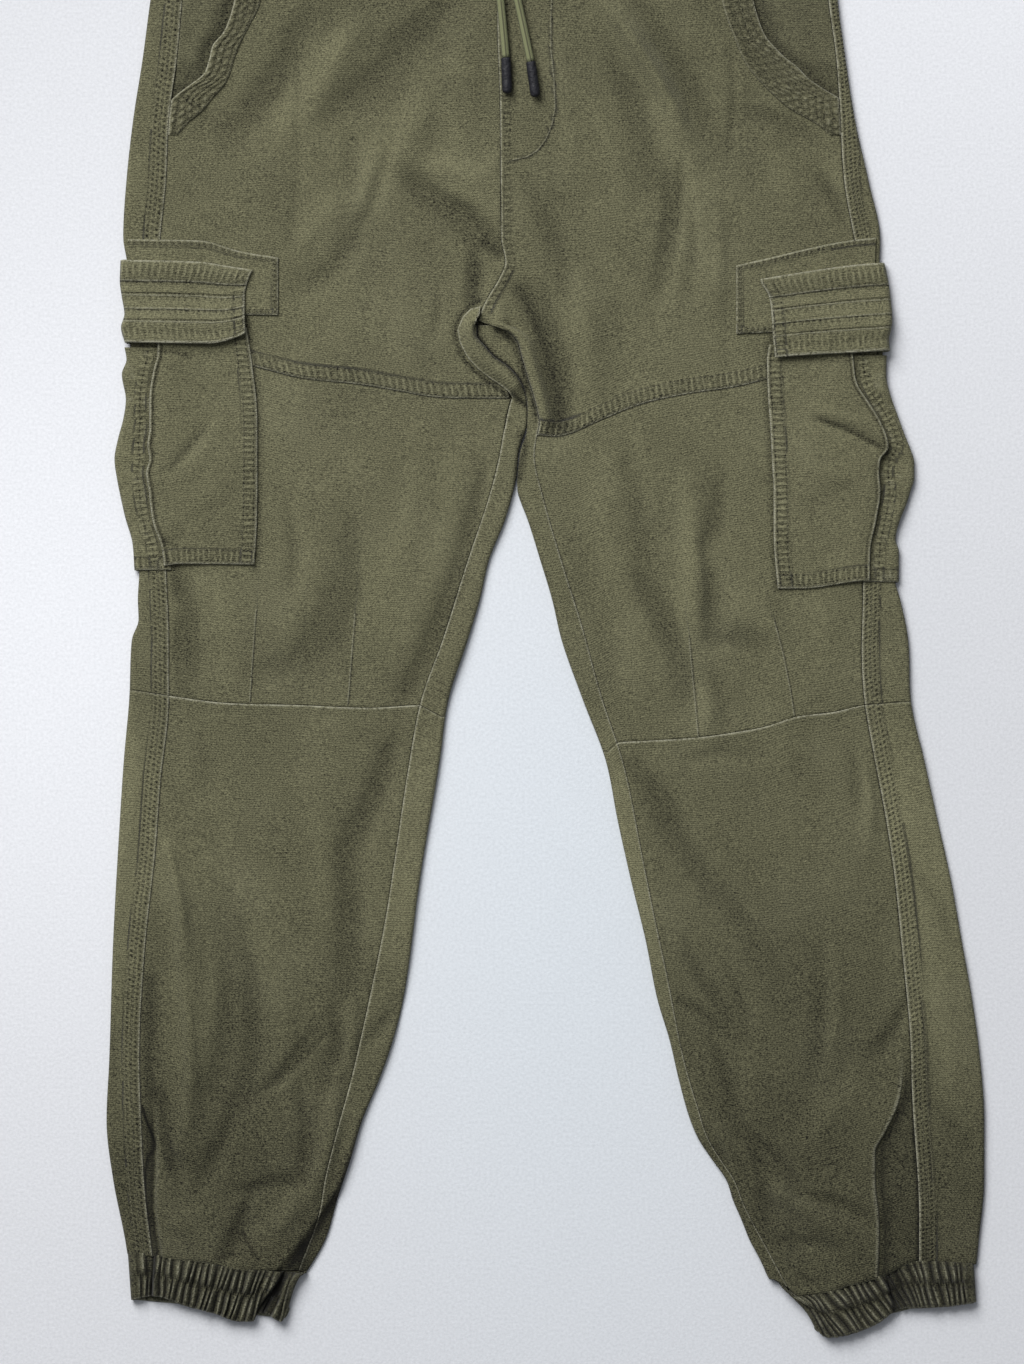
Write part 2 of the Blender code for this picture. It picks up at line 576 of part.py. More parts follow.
def front_thigh(side):
    """Its columns meet those of the upper front above and of the shin below."""
    outwards = OUTWARD[side]
    start = UPPER_END[side] + SEAM
    top, knee = upper_edges(side)(UPPER_END[side]), KNEE[side]
    top[-1] = inseam[side](start) + outwards * SEAM
    shares = [(x - top[0]) / (top[-1] - top[0]) for x in top]
    foot = calf_edges(side, len(top) - 1)(knee)
    foot_shares = [(x - foot[0]) / (foot[-1] - foot[0]) for x in foot]

    def edges(down):
        seam = side_seam[side](down) - outwards * SEAM
        width = inseam[side](down) + outwards * SEAM - seam
        near_knee = ease(start, knee, down)
        return [seam + width * mix(a, b, near_knee) for a, b in zip(shares, foot_shares)]

    def down_of(across, row):
        part = (row - start) / (knee - SEAM - start)
        slant = (thigh_seam[side](across) - UPPER_END[side]) * (1 - part)
        return row + slant + knee_slant(side, across, row)

    rows = [start] + ([398, 409] if side == "r" else []) + thigh_rows(side)
    return front_panel(f"front_thigh_{side}", side, edges, down_of, rows)


def front_shin(side):
    """Front from the knee seam to the hem."""
    columns = len(upper_edges(side)(300.0)) - 1
    return front_panel(f"front_shin_{side}", side, calf_edges(side, columns),
                       lambda across, row: calf_down(side, across, row), spaced(0.0, 1.0, CALF_ROWS))


# ---------------------------------------------------------------- backs

def rolled_end(fold_down):
    """Across, down and lie of the right back's free edge for the row whose fold is at fold_down."""
    downs = [row[0] for row in ROLLED_EDGE]
    return [float(np.interp(fold_down, downs, [row[k] for row in ROLLED_EDGE])) for k in (1, 2, 3)]


def back_section(side, down_of, row, wrap_from):
    """Outline of the back across one row, from the side seam round the floor to the inner edge."""
    outwards = OUTWARD[side]

    def settle(across_at):
        down = down_of(across_at(500.0), row)
        for _ in range(5):
            down = down_of(across_at(down), row)
        return across_at(down), down

    seam_x, seam_y = settle(lambda d: side_seam[side](d) + outwards * SEAM)
    out_x, out_y = settle(outer[side])
    in_x, in_y = settle(lambda d: inner[side](d) + outwards * SEAM)
    centre_out = out_x - outwards * FOLD_RADIUS
    centre_in = in_x + outwards * FOLD_RADIUS
    points = []
    for k in range(STRIP):
        across = mix(seam_x, centre_out, k / STRIP)
        down = mix(seam_y, out_y, k / STRIP)
        points.append((across, down, face(side, across, down)))
    top, foot = face(side, centre_out, out_y), lifted(side, out_x, out_y)
    for k in range(FOLD + 1):
        turn = math.pi / 2 - math.pi * k / FOLD
        points.append((centre_out + outwards * FOLD_RADIUS * math.cos(turn), out_y,
                       mix(foot, top, 0.5 + 0.5 * math.sin(turn))))
    for across in (out_x - outwards * RAMP[0], out_x - outwards * RAMP[1], centre_in + outwards * 11):
        down = down_of(across, row)
        points.append((across, down, lifted(side, across, down)))
    if side == "r" and in_y < ROLLED_EDGE[-1][0]:
        end_x, end_y, lies_on = rolled_end(in_y)
    else:
        end_x, end_y = settle(lambda d: inseam[side](d) - outwards * SEAM)
        lies_on = 0.0
    end_top = face(side, end_x, end_y) + lies_on * (CLOTH + AIR)
    rim = mix(face(side, centre_in, in_y), end_top + 2.6, lies_on) if side == "r" else end_top
    rim = min(rim, LAID) if side == "l" and in_y < 412 else rim
    for k in range(FOLD + 1):
        turn = -math.pi / 2 + math.pi * k / FOLD
        points.append((centre_in - outwards * FOLD_RADIUS * math.cos(turn), in_y,
                       rim * (0.5 + 0.5 * math.sin(turn))))
    if row < wrap_from:
        points[STRIP + FOLD + FLOOR] = (in_x, in_y, 0.0)
    for k in range(1, INSET + 1):
        part = k / INSET
        across, down = mix(centre_in, end_x, part), mix(in_y, end_y, part)
        arch = 3.4 * lies_on * math.sin(math.pi * min(part * 1.1, 1.0)) if side == "r" else 0.0
        flat = face(side, across, down) if lies_on == 0 and in_y > 412 else mix(rim, end_top, part)
        if side == "l" and in_y <= 412:
            flat = min(flat, LAID)
        points.append((across, down, flat + arch))
    return points


def inner_face(side, points, thickness):
    """The section moved into the leg by the cloth's thickness, square to its run."""
    moved = []
    last = len(points) - 1
    for k, (x, y, z) in enumerate(points):
        before, after = points[max(k - 1, 0)], points[min(k + 1, last)]
        run_x, run_z = after[0] - before[0], after[2] - before[2]
        step = OUTWARD[side] * thickness / (math.hypot(run_x, run_z) or 1.0)
        moved.append((x + step * run_z, y, z - step * run_x))
    return moved


def back_panel(name, side, down_of, rows, wrap_from):
    """A back piece: it lies on the floor and comes round both folds to the seams in front."""
    sections = [back_section(side, down_of, row, wrap_from) for row in rows]
    turned = [inner_face(side, points, CLOTH) for points in sections]
    open_end = STRIP + FOLD + FLOOR

    def outside(u, v):
        return sections[v][u]

    def inside(u, v):
        x, y, z = sections[v][u]
        if u in (0, COLUMNS):
            return x, y, z - CLOTH
        if u == open_end and rows[v] <= wrap_from:
            return x, y, z + CLOTH
        return turned[v][u]

    def skip(u, v):
        return u >= open_end and rows[int(v)] <= wrap_from

    return wall(name, COLUMNS, len(rows) - 1, outside, inside, "olive_twill", skip,
                loose=range(1, COLUMNS - 1, 2))


def back_upper(side):
    """Back from the waistband to the knee seam."""
    rows = waist_rows() + CROTCH_ROWS + thigh_rows(side)

    def down_of(across, row):
        return row + knee_slant(side, across, row)

    return back_panel(f"back_upper_{side}", side, down_of, rows, CROTCH_ROWS[0])


def back_lower(side):
    """Back from the knee seam to the hem."""
    return back_panel(f"back_lower_{side}", side, lambda across, row: calf_down(side, across, row),
                      spaced(0.0, 1.0, CALF_ROWS), -1.0)


# ---------------------------------------------------------------- hip pockets


def front_places(side, rows, columns):
    """Places of the upper front's own first columns, for the pieces sewn along its pocket opening."""
    edges = upper_edges(side)
    end = UPPER_END[side]
    places = []
    for row in rows:
        for u in range(columns):
            down = row
            for _ in range(5):
                across = edges(down)[u]
                down = row - (end - thigh_seam[side](across)) * ease(180, end - SEAM, row)
            places.append((across, down))
    return places


def hip_band(side):
    """Stitched band on the front along the pocket opening, from the panel's own points moved out."""
    rows = [row for row in hip_rows() if row < 190]
    places = front_places(side, rows, BAND_COLUMNS + 1)

    def above(lift):
        def point(u, v):
            across, down = places[v * (BAND_COLUMNS + 1) + u]
            return across, down, face(side, across, down) + lift
        return point

    return wall(f"hip_band_{side}", BAND_COLUMNS, len(rows) - 1, above(AIR + BAND_CLOTH), above(AIR),
                "olive_twill")


def hip_facing(side):
    """Cloth seen inside the hip pocket opening: it runs on under the front."""
    outwards = OUTWARD[side]
    rows = [row for row in hip_rows() if row < 161]
    under = CLOTH + AIR + 0.05

    def point(lift):
        def read(u, v):
            down = rows[v]
            mouth = opening[side](down)
            width = outwards * (side_seam[side](down) - mouth) - 2 * SEAM
            even = mix(-8.0, width, u / FACING_COLUMNS)
            shaped = (-8.0, 1.5, 10.0, mix(10.0, width, 0.5), width)[u]
            past = mix(even, shaped, ease(14, 22, width))
            across = mouth + outwards * past
            sunk = 1 - ease(2, 10, past) * (1 - ease(130, 142, down))
            return across, down, face(side, across, down) - under * sunk - lift
        return read

    return wall(f"hip_facing_{side}", FACING_COLUMNS, len(rows) - 1, point(0.0), point(CLOTH),
                "shaded_twill")


# ---------------------------------------------------------------- cargo pockets


def pocket_patch(side):
    """Reinforcing patch behind the flap."""
    edge = PATCH_EDGE[side]
    columns, rows = PATCH_COLUMNS, PATCH_ROWS

    def point(lift):
        def read(u, v):
            share = v / rows
            down = mix(patch_head[side](edge), patch_foot[side](edge), share)
            for _ in range(3):
                end = outer[side](down) - OUTWARD[side] * FOLD_RADIUS
                across = mix(edge, end, u / columns)
                down = mix(patch_head[side](across), patch_foot[side](across), share)
            return across, down, face(side, across, down) + AIR + 0.1 + lift
        return read

    return wall(f"pocket_patch_{side}", columns, rows, point(BAND_CLOTH), point(0.0), "olive_twill")


def pocket_puff(side, across, down, share_out, share_down):
    """Height of the pocket face's underside over the panel."""
    free = 1.85 * ease(0.45, 0.92, share_out)
    belly = 2.6 * math.sin(math.pi * share_down) ** 2 * math.sin(math.pi * min(share_out, 0.62))
    folds = 0.0
    for crease_side, x0, y0, x1, y1, half_width, height in POCKET_CREASES:
        if crease_side == side:
            along = ((across - x0) * (x1 - x0) + (down - y0) * (y1 - y0)) / ((x1 - x0) ** 2 + (y1 - y0) ** 2)
            along = min(max(along, 0.0), 1.0)
            apart = math.hypot(across - mix(x0, x1, along), down - mix(y0, y1, along)) / half_width
            folds += height * math.exp(-apart * apart)
    edge = ease(0.0, 0.12, share_out) * ease(0.02, 0.14, share_down) * (1 - ease(0.9, 1.0, share_down))
    return AIR + free + belly + folds * edge


def cargo_pocket(side):
    """Face of the cargo pocket: sewn down towards the fly and at its foot, free over the bellows."""
    table = POCKET[side]
    near, free = curve([row[:2] for row in table]), curve([(row[0], row[2]) for row in table])
    head = table[0][0]
    columns, rows = POCKET_COLUMNS, POCKET_ROWS

    def point(lift):
        def read(u, v):
            share_out, share_down = u / columns, v / rows
            down = mix(head, table[-1][0], share_down)
            for _ in range(4):
                across = mix(near(down), free(down), share_out)
                down = mix(head, pocket_foot[side](across), share_down)
            puff = pocket_puff(side, across, down, share_out, share_down)
            return across, down, LAID + puff + lift
        return read

    return wall(f"cargo_pocket_{side}", columns, rows, point(POCKET_CLOTH), point(0.0), "olive_twill",
                loose=range(1, columns, 2))


def wrapped(side, top_points, top, radius, reach, foot_z=0.0):
    """A section on the leg's face that goes round its outer fold and a little way under it."""
    outwards = OUTWARD[side]
    fold, down = top_points[-1]
    centre = fold - outwards * radius
    points = [(x, y, top(x, y)) for x, y in top_points[:-1]]
    crown = top(centre, down)
    for k in range(FOLD + 1):
        turn = math.pi / 2 - math.pi * k / FOLD
        points.append((centre + outwards * radius * math.cos(turn), down,
                       mix(foot_z, crown, 0.5 + 0.5 * math.sin(turn))))
    for k in (1, 2):
        points.append((mix(centre, fold - outwards * reach, k / 2), down, foot_z))
    return points


def wrapped_wall(name, side, sections, thickness, material, raised=None):
    """A wall from sections that go round the leg's outer fold."""
    turned = [inner_face(side, points, thickness) for points in sections]
    last = len(sections[0]) - 1

    def inside(u, v):
        x, y, z = sections[v][u]
        if u in (0, last):
            return x, y, z + (thickness if u else -thickness)
        return turned[v][u]

    def outside(u, v):
        x, y, z = sections[v][u]
        return x, y, z + (raised(u, v) if raised else 0.0)

    top = last - FOLD - 2
    loose = [*range(1, top, 2), top + 1, last - 1]
    return wall(name, last, len(sections) - 1, outside, inside, material, loose=loose)


def cargo_bellows(side):
    """Gusset that lets the pocket swell, from under the pocket's free edge round the leg's fold."""
    outwards = OUTWARD[side]
    free = curve([(row[0], row[2]) for row in POCKET[side]])
    start, rows = BELLOWS_TOP[side], BELLOWS_ROWS
    sections = []
    for v in range(rows + 1):
        down = mix(start, pocket_foot[side](OUTER[side][15][1]) - 0.5, v / rows)
        fold = bellows_fold[side](down)
        tuck = free(down) - outwards * 5
        line = [(mix(tuck, fold - outwards * 4.5, k / 3), down) for k in range(3)] + [(fold, down)]
        sections.append(wrapped(side, line, lambda x, y: LAID + AIR + CLOTH, 4.5, UNDER_REACH))
    return wrapped_wall(f"cargo_bellows_{side}", side, sections, CLOTH, "olive_twill")


def cargo_flap(side):
    """Pocket flap with tucks stitched along it, over the patch and the pocket's mouth."""
    outwards = OUTWARD[side]
    table = FLAP[side]
    near, fold = curve([row[:2] for row in table]), curve([(row[0], row[2]) for row in table])
    over = table[2][0], table[3][0] + 6

    def top(across, down):
        return LAID + mix(AIR + BAND_CLOTH + AIR + 0.1, 5.2, ease(*over, down)) + FLAP_CLOTH

    sections = []
    for share in FLAP_ROWS:
        down = mix(table[0][0], table[-1][0], share)
        line = []
        for k in range(FLAP_COLUMNS):
            for _ in range(4):
                start, end = near(down), fold(down)
                last = FLAP_COLUMNS - 1
                across = mix(start, end - outwards * 5.0, k / last) if k < last else end
                down = mix(flap_head[side](across), flap_foot[side](across), share)
            line.append((across, down))
        sections.append(wrapped(side, line, top, 5.0, UNDER_REACH))

    def raised(u, v):
        return FLAP_RAISED[v] if 0 < u < FLAP_COLUMNS else 0.0

    return wrapped_wall(f"cargo_flap_{side}", side, sections, FLAP_CLOTH, "olive_twill", raised)


# ---------------------------------------------------------------- waistband and cuffs


def gathered_ring(name, left, right, down_at, heights, thickness, gathers, swing, slant, rows, floor):
    """A flattened tube gathered on elastic: waves on its upper face, flat where it rests."""
    steps = 2 * gathers
    radius = RING_RADIUS
    turns = [math.pi / 2 - math.pi * k / FOLD for k in range(FOLD + 1)]

    def loop(share, inset, waves):
        low, high = left(share), right(share)
        top, radius_in = heights(share), radius - inset
        start, end = low + radius, high - radius
        points = []
        for k in range(steps):
            part = k / steps
            wave = swing * waves * math.cos(math.pi * k) * ease(0, 0.06, part) * (1 - ease(0.94, 1, part))
            across = mix(start, end, part) + slant * share * math.sin(math.pi * part)
            points.append((across, top - inset + wave))
        for turn in turns:
            points.append((end + radius_in * math.cos(turn),
                           mix(inset, top - inset, 0.5 + 0.5 * math.sin(turn))))
        points += [(across, inset) for across in floor]
        for turn in reversed(turns):
            points.append((start - radius_in * math.cos(turn),
                           mix(inset, top - inset, 0.5 + 0.5 * math.sin(turn))))
        return points

    columns = len(loop(0.0, 0.0, 0.0)) - 1
    outer_loops = [loop(v / rows, 0.0, 1.0) for v in range(rows + 1)]
    inner_loops = [loop(v / rows, thickness, 0.0) for v in range(rows + 1)]

    def point(loops):
        def read(u, v):
            across, height = loops[v][u % columns]
            return across, down_at(across, v / rows), height
        return read

    return wall(name, columns, rows, point(outer_loops), point(inner_loops), "olive_twill", tube=True,
                loose=range(1, steps, 2))


def waistband():
    """Waistband, gathered on elastic all round."""
    return gathered_ring(
        "waistband", lambda f: outer["r"](WAIST_SEAM * f), lambda f: outer["l"](WAIST_SEAM * f),
        lambda x, f: mix(0.0, WAIST_SEAM - SEAM, f),
        lambda f: WAISTBAND_HEIGHT, CUFF_CLOTH, WAIST_GATHERS, 0.45, 0.0, 2, (0.0,))


def cuff(side):
    """Cuff, gathered on elastic all round."""
    spec = CUFF[side]
    head, foot = curve(spec["head"]), curve(spec["foot"])
    (a0, b0), (a1, b1) = spec["ends"]
    floor = [outer[side](1030) - OUTWARD[side] * reach for reach in RAMP]
    return gathered_ring(
        f"cuff_{side}", lambda f: mix(a0, a1, f), lambda f: mix(b0, b1, f),
        lambda x, f: mix(head(x), foot(x), f),
        lambda f: 6.8 + 1.2 * math.sin(math.pi * min(f + 0.15, 1.0)), CUFF_CLOTH, spec["gathers"], 0.8,
        spec["slant"], 3, floor if side == "l" else floor[::-1])


# ---------------------------------------------------------------- drawstring


def cord_height(across, down):
    """Height of the cord's middle: it lies on the waistband, then on the fronts."""
    near = [face("r" if x < 0 else "l", x, down) for x in (across - 3, across, across + 3)]
    on_front = max(near) + AIR
    on_band = WAISTBAND_HEIGHT + 0.45 + AIR
    return mix(on_band, on_front, ease(WAIST_SEAM - 2, WAIST_SEAM + 16, down)) + CORD / 2


def tube(name, points, radii, diameter, material, resolution):
    """A round rod along the points, as a curve with a bevel."""
    curve_data = bpy.data.curves.new(name, "CURVE")
    curve_data.dimensions = "3D"
    spline = curve_data.splines.new("POLY")
    spline.points.add(len(points) - 1)
    for spot, place, radius in zip(spline.points, points, radii):
        spot.co = (*place, 1)
        spot.radius = radius
    curve_data.bevel_depth = diameter / 2 * MM
    curve_data.bevel_resolution = resolution
    curve_data.use_fill_caps = True
    return finish(bpy.data.objects.new(name, curve_data), material)


def drawstring(side):
    """Drawstring end, from its buttonhole over the fronts, and its tip."""
    rows = DRAWSTRING[side]
    across_at = curve([(down, across) for across, down in rows])
    x0, y0 = rows[0]
    band_top = WAISTBAND_HEIGHT + 0.45 + AIR
    rising = [at(x0, y0, band_top), at(x0, y0 + 0.6, band_top + 1.6), at(x0, y0 + 2.6, band_top + 2.7)]
    downs = spaced(y0 + 6, rows[-1][1], CORD_ROWS)
    laid = [at(across_at(down), down, cord_height(across_at(down), down)) for down in downs]
    points = rising + laid
    tube(f"drawstring_{side}", points, [1.0] * len(points), CORD, "cord_green", 2)

    end_x, end_y = across_at(downs[-1]), downs[-1]
    aim_x, aim_y = AGLET_AIM[side]
    length = math.hypot(aim_x - end_x, aim_y - end_y)
    height = cord_height(end_x, end_y) + (AGLET - CORD) / 2
    tip = []
    for reach in (0.3, 1.3, 5.0, AGLET_LENGTH - 4.0, AGLET_LENGTH - 1.4, AGLET_LENGTH):
        part = reach / length
        x, y = mix(end_x, aim_x, part), mix(end_y, aim_y, part)
        tip.append(at(x, y, height))
    tube(f"aglet_{side}", tip, (0.86, 0.98, 1.0, 1.0, 0.9, 0.6), AGLET, "dark_tip", 3)


# ---------------------------------------------------------------- build


def build():
    """Clears the file and makes the garment."""
    for obj in list(bpy.data.objects):
        bpy.data.objects.remove(obj)
    scene = bpy.context.scene
    scene.unit_settings.system = "METRIC"
    garment = bpy.data.collections.new("cargo_joggers")
    scene.collection.children.link(garment)
    for name, (colour, roughness) in MATERIALS.items():
        material = bpy.data.materials.new(name)
        material.use_nodes = True
        shader = material.node_tree.nodes["Principled BSDF"]
        shader.inputs["Base Color"].default_value = (*colour, 1)
        shader.inputs["Roughness"].default_value = roughness
        shader.inputs["Metallic"].default_value = 0.0
    waistband()
    for side in SIDES:
        for piece in (front_upper, front_thigh, front_shin, back_upper, back_lower, hip_facing, hip_band,
                      pocket_patch, cargo_bellows, cargo_pocket, cargo_flap, cuff, drawstring):
            piece(side)


build()
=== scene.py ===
"""Cargo joggers laid flat: their cloth, stitching, cords and finishes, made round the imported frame.

Places on the garment are in millimetres: "across" is measured from the centre front, minus towards
the wearer's right, and "down" from the top of the waistband. world() turns them into the frame's metres.
"""

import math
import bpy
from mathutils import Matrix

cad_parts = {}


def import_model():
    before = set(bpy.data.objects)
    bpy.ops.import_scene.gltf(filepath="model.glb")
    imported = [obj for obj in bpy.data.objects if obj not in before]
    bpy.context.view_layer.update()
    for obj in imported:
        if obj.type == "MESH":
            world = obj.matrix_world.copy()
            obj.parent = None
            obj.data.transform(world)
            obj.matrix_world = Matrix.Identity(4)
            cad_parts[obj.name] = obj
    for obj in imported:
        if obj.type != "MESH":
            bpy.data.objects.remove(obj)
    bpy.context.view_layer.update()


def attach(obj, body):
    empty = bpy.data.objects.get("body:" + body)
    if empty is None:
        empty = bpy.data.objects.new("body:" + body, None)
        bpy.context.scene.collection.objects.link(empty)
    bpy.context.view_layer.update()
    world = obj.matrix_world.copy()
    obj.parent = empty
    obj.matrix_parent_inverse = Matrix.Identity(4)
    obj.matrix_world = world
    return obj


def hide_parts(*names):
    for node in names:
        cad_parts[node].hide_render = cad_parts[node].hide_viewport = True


bl_info = {
    "name": "Cargo Joggers",
    "version": (1, 0, 0),
    "blender": (4, 5, 0),
    "location": "View3D > Sidebar > Joggers",
    "description": "Dresses a pair of cargo joggers that lies flat",
    "category": "Add Mesh",
}

from functools import lru_cache

import bmesh
import bpy
import numpy as np
from mathutils import Vector

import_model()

MM = 0.001
CENTRE_FRONT_X = -34.05
WAIST_TOP_Y = 544.5

CLOTH = 1.1  # thickness of the panels
THIN_CLOTH = 0.9  # thickness of hip bands and patches
ELASTIC = 1.4  # thickness of waistband and cuffs
SEAM = 0.06  # gap on each side of a seam
AIR = 0.35  # gap between layers that lie on each other
LAID = 5.2  # height of the garment's face where it lies flat
FOLD_RADIUS = 3.4
POCKET_LAYER = 1.9  # how far flap and bellows lift the back over the floor
WAIST_SEAM = 41.0  # down of the seam under the waistband
WAISTBAND_HEIGHT = 6.6
WAIST_GATHERS = 48
MEETING = 331  # down of the point where the four panels meet
CORD = 6.0  # diameter
AGLET = 7.5  # diameter of a cord's tip
AGLET_LENGTH = 27.0
MESH_STEP = 2.5

OUTWARD = {"r": -1.0, "l": 1.0}
SIDES = ("r", "l")

# Fold at the outer side of each leg: down, across
OUTER = {
    "r": ((0, -249), (41, -255), (86, -262), (131, -268), (176, -275), (221, -280), (264, -282.5),
          (283, -279.5), (311, -277), (386, -277), (431, -278), (461, -277), (491, -272.5),
          (516, -270.5), (536, -271.5), (551, -271), (566, -276), (611, -278), (656, -282),
          (701, -285), (791, -290), (881, -293), (926, -295), (971, -290), (1016, -281),
          (1036, -278)),
    "l": ((0, 244), (41, 249), (86, 253), (131, 259), (176, 266), (221, 276), (266, 285),
          (283, 284.5), (311, 288), (349, 287), (371, 285), (395, 291), (433, 297), (465, 297.5),
          (491, 293), (520, 295.5), (536, 300), (566, 306), (611, 308), (656, 318), (701, 328),
          (746, 338), (791, 346), (836, 354), (881, 360), (926, 363), (971, 363), (1016, 359),
          (1036, 357)),
}
# Seat seam on the floor, and the fold at the inner side of each leg below it: down, across
SEAT_SEAM = (
    (41, 0), (220, 0), (266, -1), (290, -5), (313, -12), (328, -17), (338, -17), (346, -11), (354, -4),
    (361, 6), (370, 14), (380, 18.5), (395, 20.5), (403, 20.3),
)
INNER = {
    "r": SEAT_SEAM + (
        (412, 18.3), (418, 16.2), (424, 14.5), (446, 12), (476, 4), (506, -8), (536, -15), (566, -24),
        (611, -38.5), (656, -45), (746, -60), (836, -72.5), (866, -80), (896, -90.5), (926, -103),
        (956, -112), (986, -122), (1016, -131), (1046, -148.5)),
    "l": SEAT_SEAM + (
        (412, 19.3), (424, 15.2), (434, 13.9), (446, 12.7), (455, 13), (461, 14.8), (476, 20.6),
        (506, 30), (536, 39), (566, 46), (611, 62), (656, 79), (701, 88), (746, 98), (791, 109),
        (836, 118), (866, 127), (896, 134), (926, 142.5), (941, 149), (956, 159), (971, 169.5),
        (986, 174.5), (1001, 181), (1016, 187), (1031, 195), (1046, 202), (1060, 212)),
}
# Side seam, on the front face: down, across
SIDE_SEAM = {
    "r": ((41, -235), (86, -238), (131, -242), (176, -248), (221, -250), (280, -255), (416, -253),
          (514, -250), (566, -248), (611, -248), (671, -254), (724, -258), (799, -266), (881, -270),
          (919, -269), (979, -266), (1030, -260)),
    "l": ((41, 243), (86, 246), (131, 252), (176, 255), (225, 258), (283, 268), (341, 270),
          (529, 272), (574, 271), (611, 273), (652, 280), (694, 288), (739, 295), (806, 302),
          (859, 307), (911, 309), (998, 314), (1040, 314)),
}
# Edge of the left front where it rolls over beside the crotch: down, across
ROLL = (
    (327, -16), (329.5, -10), (331.5, -4), (333.5, 2), (337, 8), (343, 13), (352, 15.5), (364, 19),
    (371, 21), (380, 24), (395, 28), (404, 29.5), (412, 28),
)
# Inseam on the front face, where the back comes round the inner fold: down, across
INSEAM = {
    "r": ((386, 8), (398, 5), (409, 3), (431, -1), (458, -8), (506, -24), (566, -43), (611, -59), (664, -69),
          (724, -78), (776, -86), (840, -99), (889, -110), (934, -122), (970, -131), (998, -136),
          (1036, -150)),
    "l": ROLL + ((428, 26), (461, 33), (506, 46), (557, 62), (608, 76), (660, 93), (724, 106),
                 (769, 115), (821, 126), (881, 138), (919, 149), (940, 156), (956, 165.5),
                 (971, 175.5), (990, 183), (1024, 201), (1056, 218)),
}
# Centre front seam down to where the four panels meet, then the front's free edge: down, across
CENTRE_FRONT = ((41, 0), (101, -2), (161, 0), (266, 1), (283, 4), (296, -1), (311, -10), (320, -14))
FRONT_EDGE = {
    "r": CENTRE_FRONT + (
        (326, -17), (331, -20.5), (339, -20.5), (346, -15.5), (354, -9), (361, -2), (370, 3), (386, 7.6)),
    "l": CENTRE_FRONT + ROLL,
}
# Slanted edge of the hip pocket opening, down to its corner on the side seam: down, across
OPENING = {
    "r": ((41, -193), (86, -199), (101, -203), (112, -208), (120, -215), (131, -218), (143, -223),
          (150, -232), (156, -240), (162, -247)),
    "l": ((41, 184), (86, 190), (98, 193), (115, 200), (122, 206), (130, 214), (137, 223),
          (146, 232), (153, 242), (160, 254)),
}
# Inner edge of the stitched band along the opening, carried on below it: down, across
BAND_EDGE = {
    "r": ((41, -174), (90, -180), (112, -191), (128, -198), (150, -206), (159, -214), (170, -223),
          (180, -235), (190, -241), (221, -240), (280, -240), (416, -238)),
    "l": ((41, 161), (90, 167), (116, 176), (136, 185), (148, 195), (159, 206), (169, 218),
          (179, 236), (190, 247), (225, 247), (283, 254), (416, 256)),
}
# Seams across the panels: across, down
THIGH_SEAM = {
    "r": ((-285, 341), (-255, 345), (-182, 362), (-150, 370), (-105, 375), (-75, 380), (-52, 384),
          (-24, 385.5), (30, 385.5)),
    "l": ((-40, 413), (29, 413), (40, 414), (52, 412), (75, 402), (105, 390), (135, 383), (180, 376),
          (196, 372), (271, 358), (300, 356)),
}
KNEE_SEAM = {
    "r": ((-300, 601), (-278, 604), (-248, 608), (-210, 613), (-150, 615), (-98, 617), (-59, 615),
          (-43, 623), (-30, 626)),
    "l": ((60, 656), (78, 650), (89, 643), (105, 642), (150, 639), (172, 636), (199, 631),
          (221, 624), (251, 620), (273, 615), (320, 612)),
}
HEM = {
    "r": ((-300, 1023), (-280, 1024), (-259, 1026), (-225, 1032), (-180, 1038), (-155, 1038),
          (-140, 1040)),
    "l": ((195, 1040), (212, 1046), (225, 1057), (250, 1053), (262, 1048), (284, 1042),
          (315, 1031), (357, 1033), (370, 1033)),
}
# Rolled edge of the back where it comes through the crotch onto the right front:
# down at the fold, then across and down of the free edge, and 1 while it lies on the front
ROLLED_EDGE = (
    (331, -14, 316, 1.0), (335, -22, 318, 1.0), (339, -28, 324, 1.0), (344, -32, 334, 1.0),
    (349, -30, 344, 1.0), (354, -25, 354, 1.0), (359, -17, 363, 1.0), (364, -8, 370, 1.0),
    (369, 1, 376, 1.0), (374, 6.5, 380.5, 1.0), (380, 9.3, 384.5, 0.5), (388, 7.6, 389, 0.0),
    (398, 5.4, 398, 0.0), (409, 3.4, 409, 0.0),
)

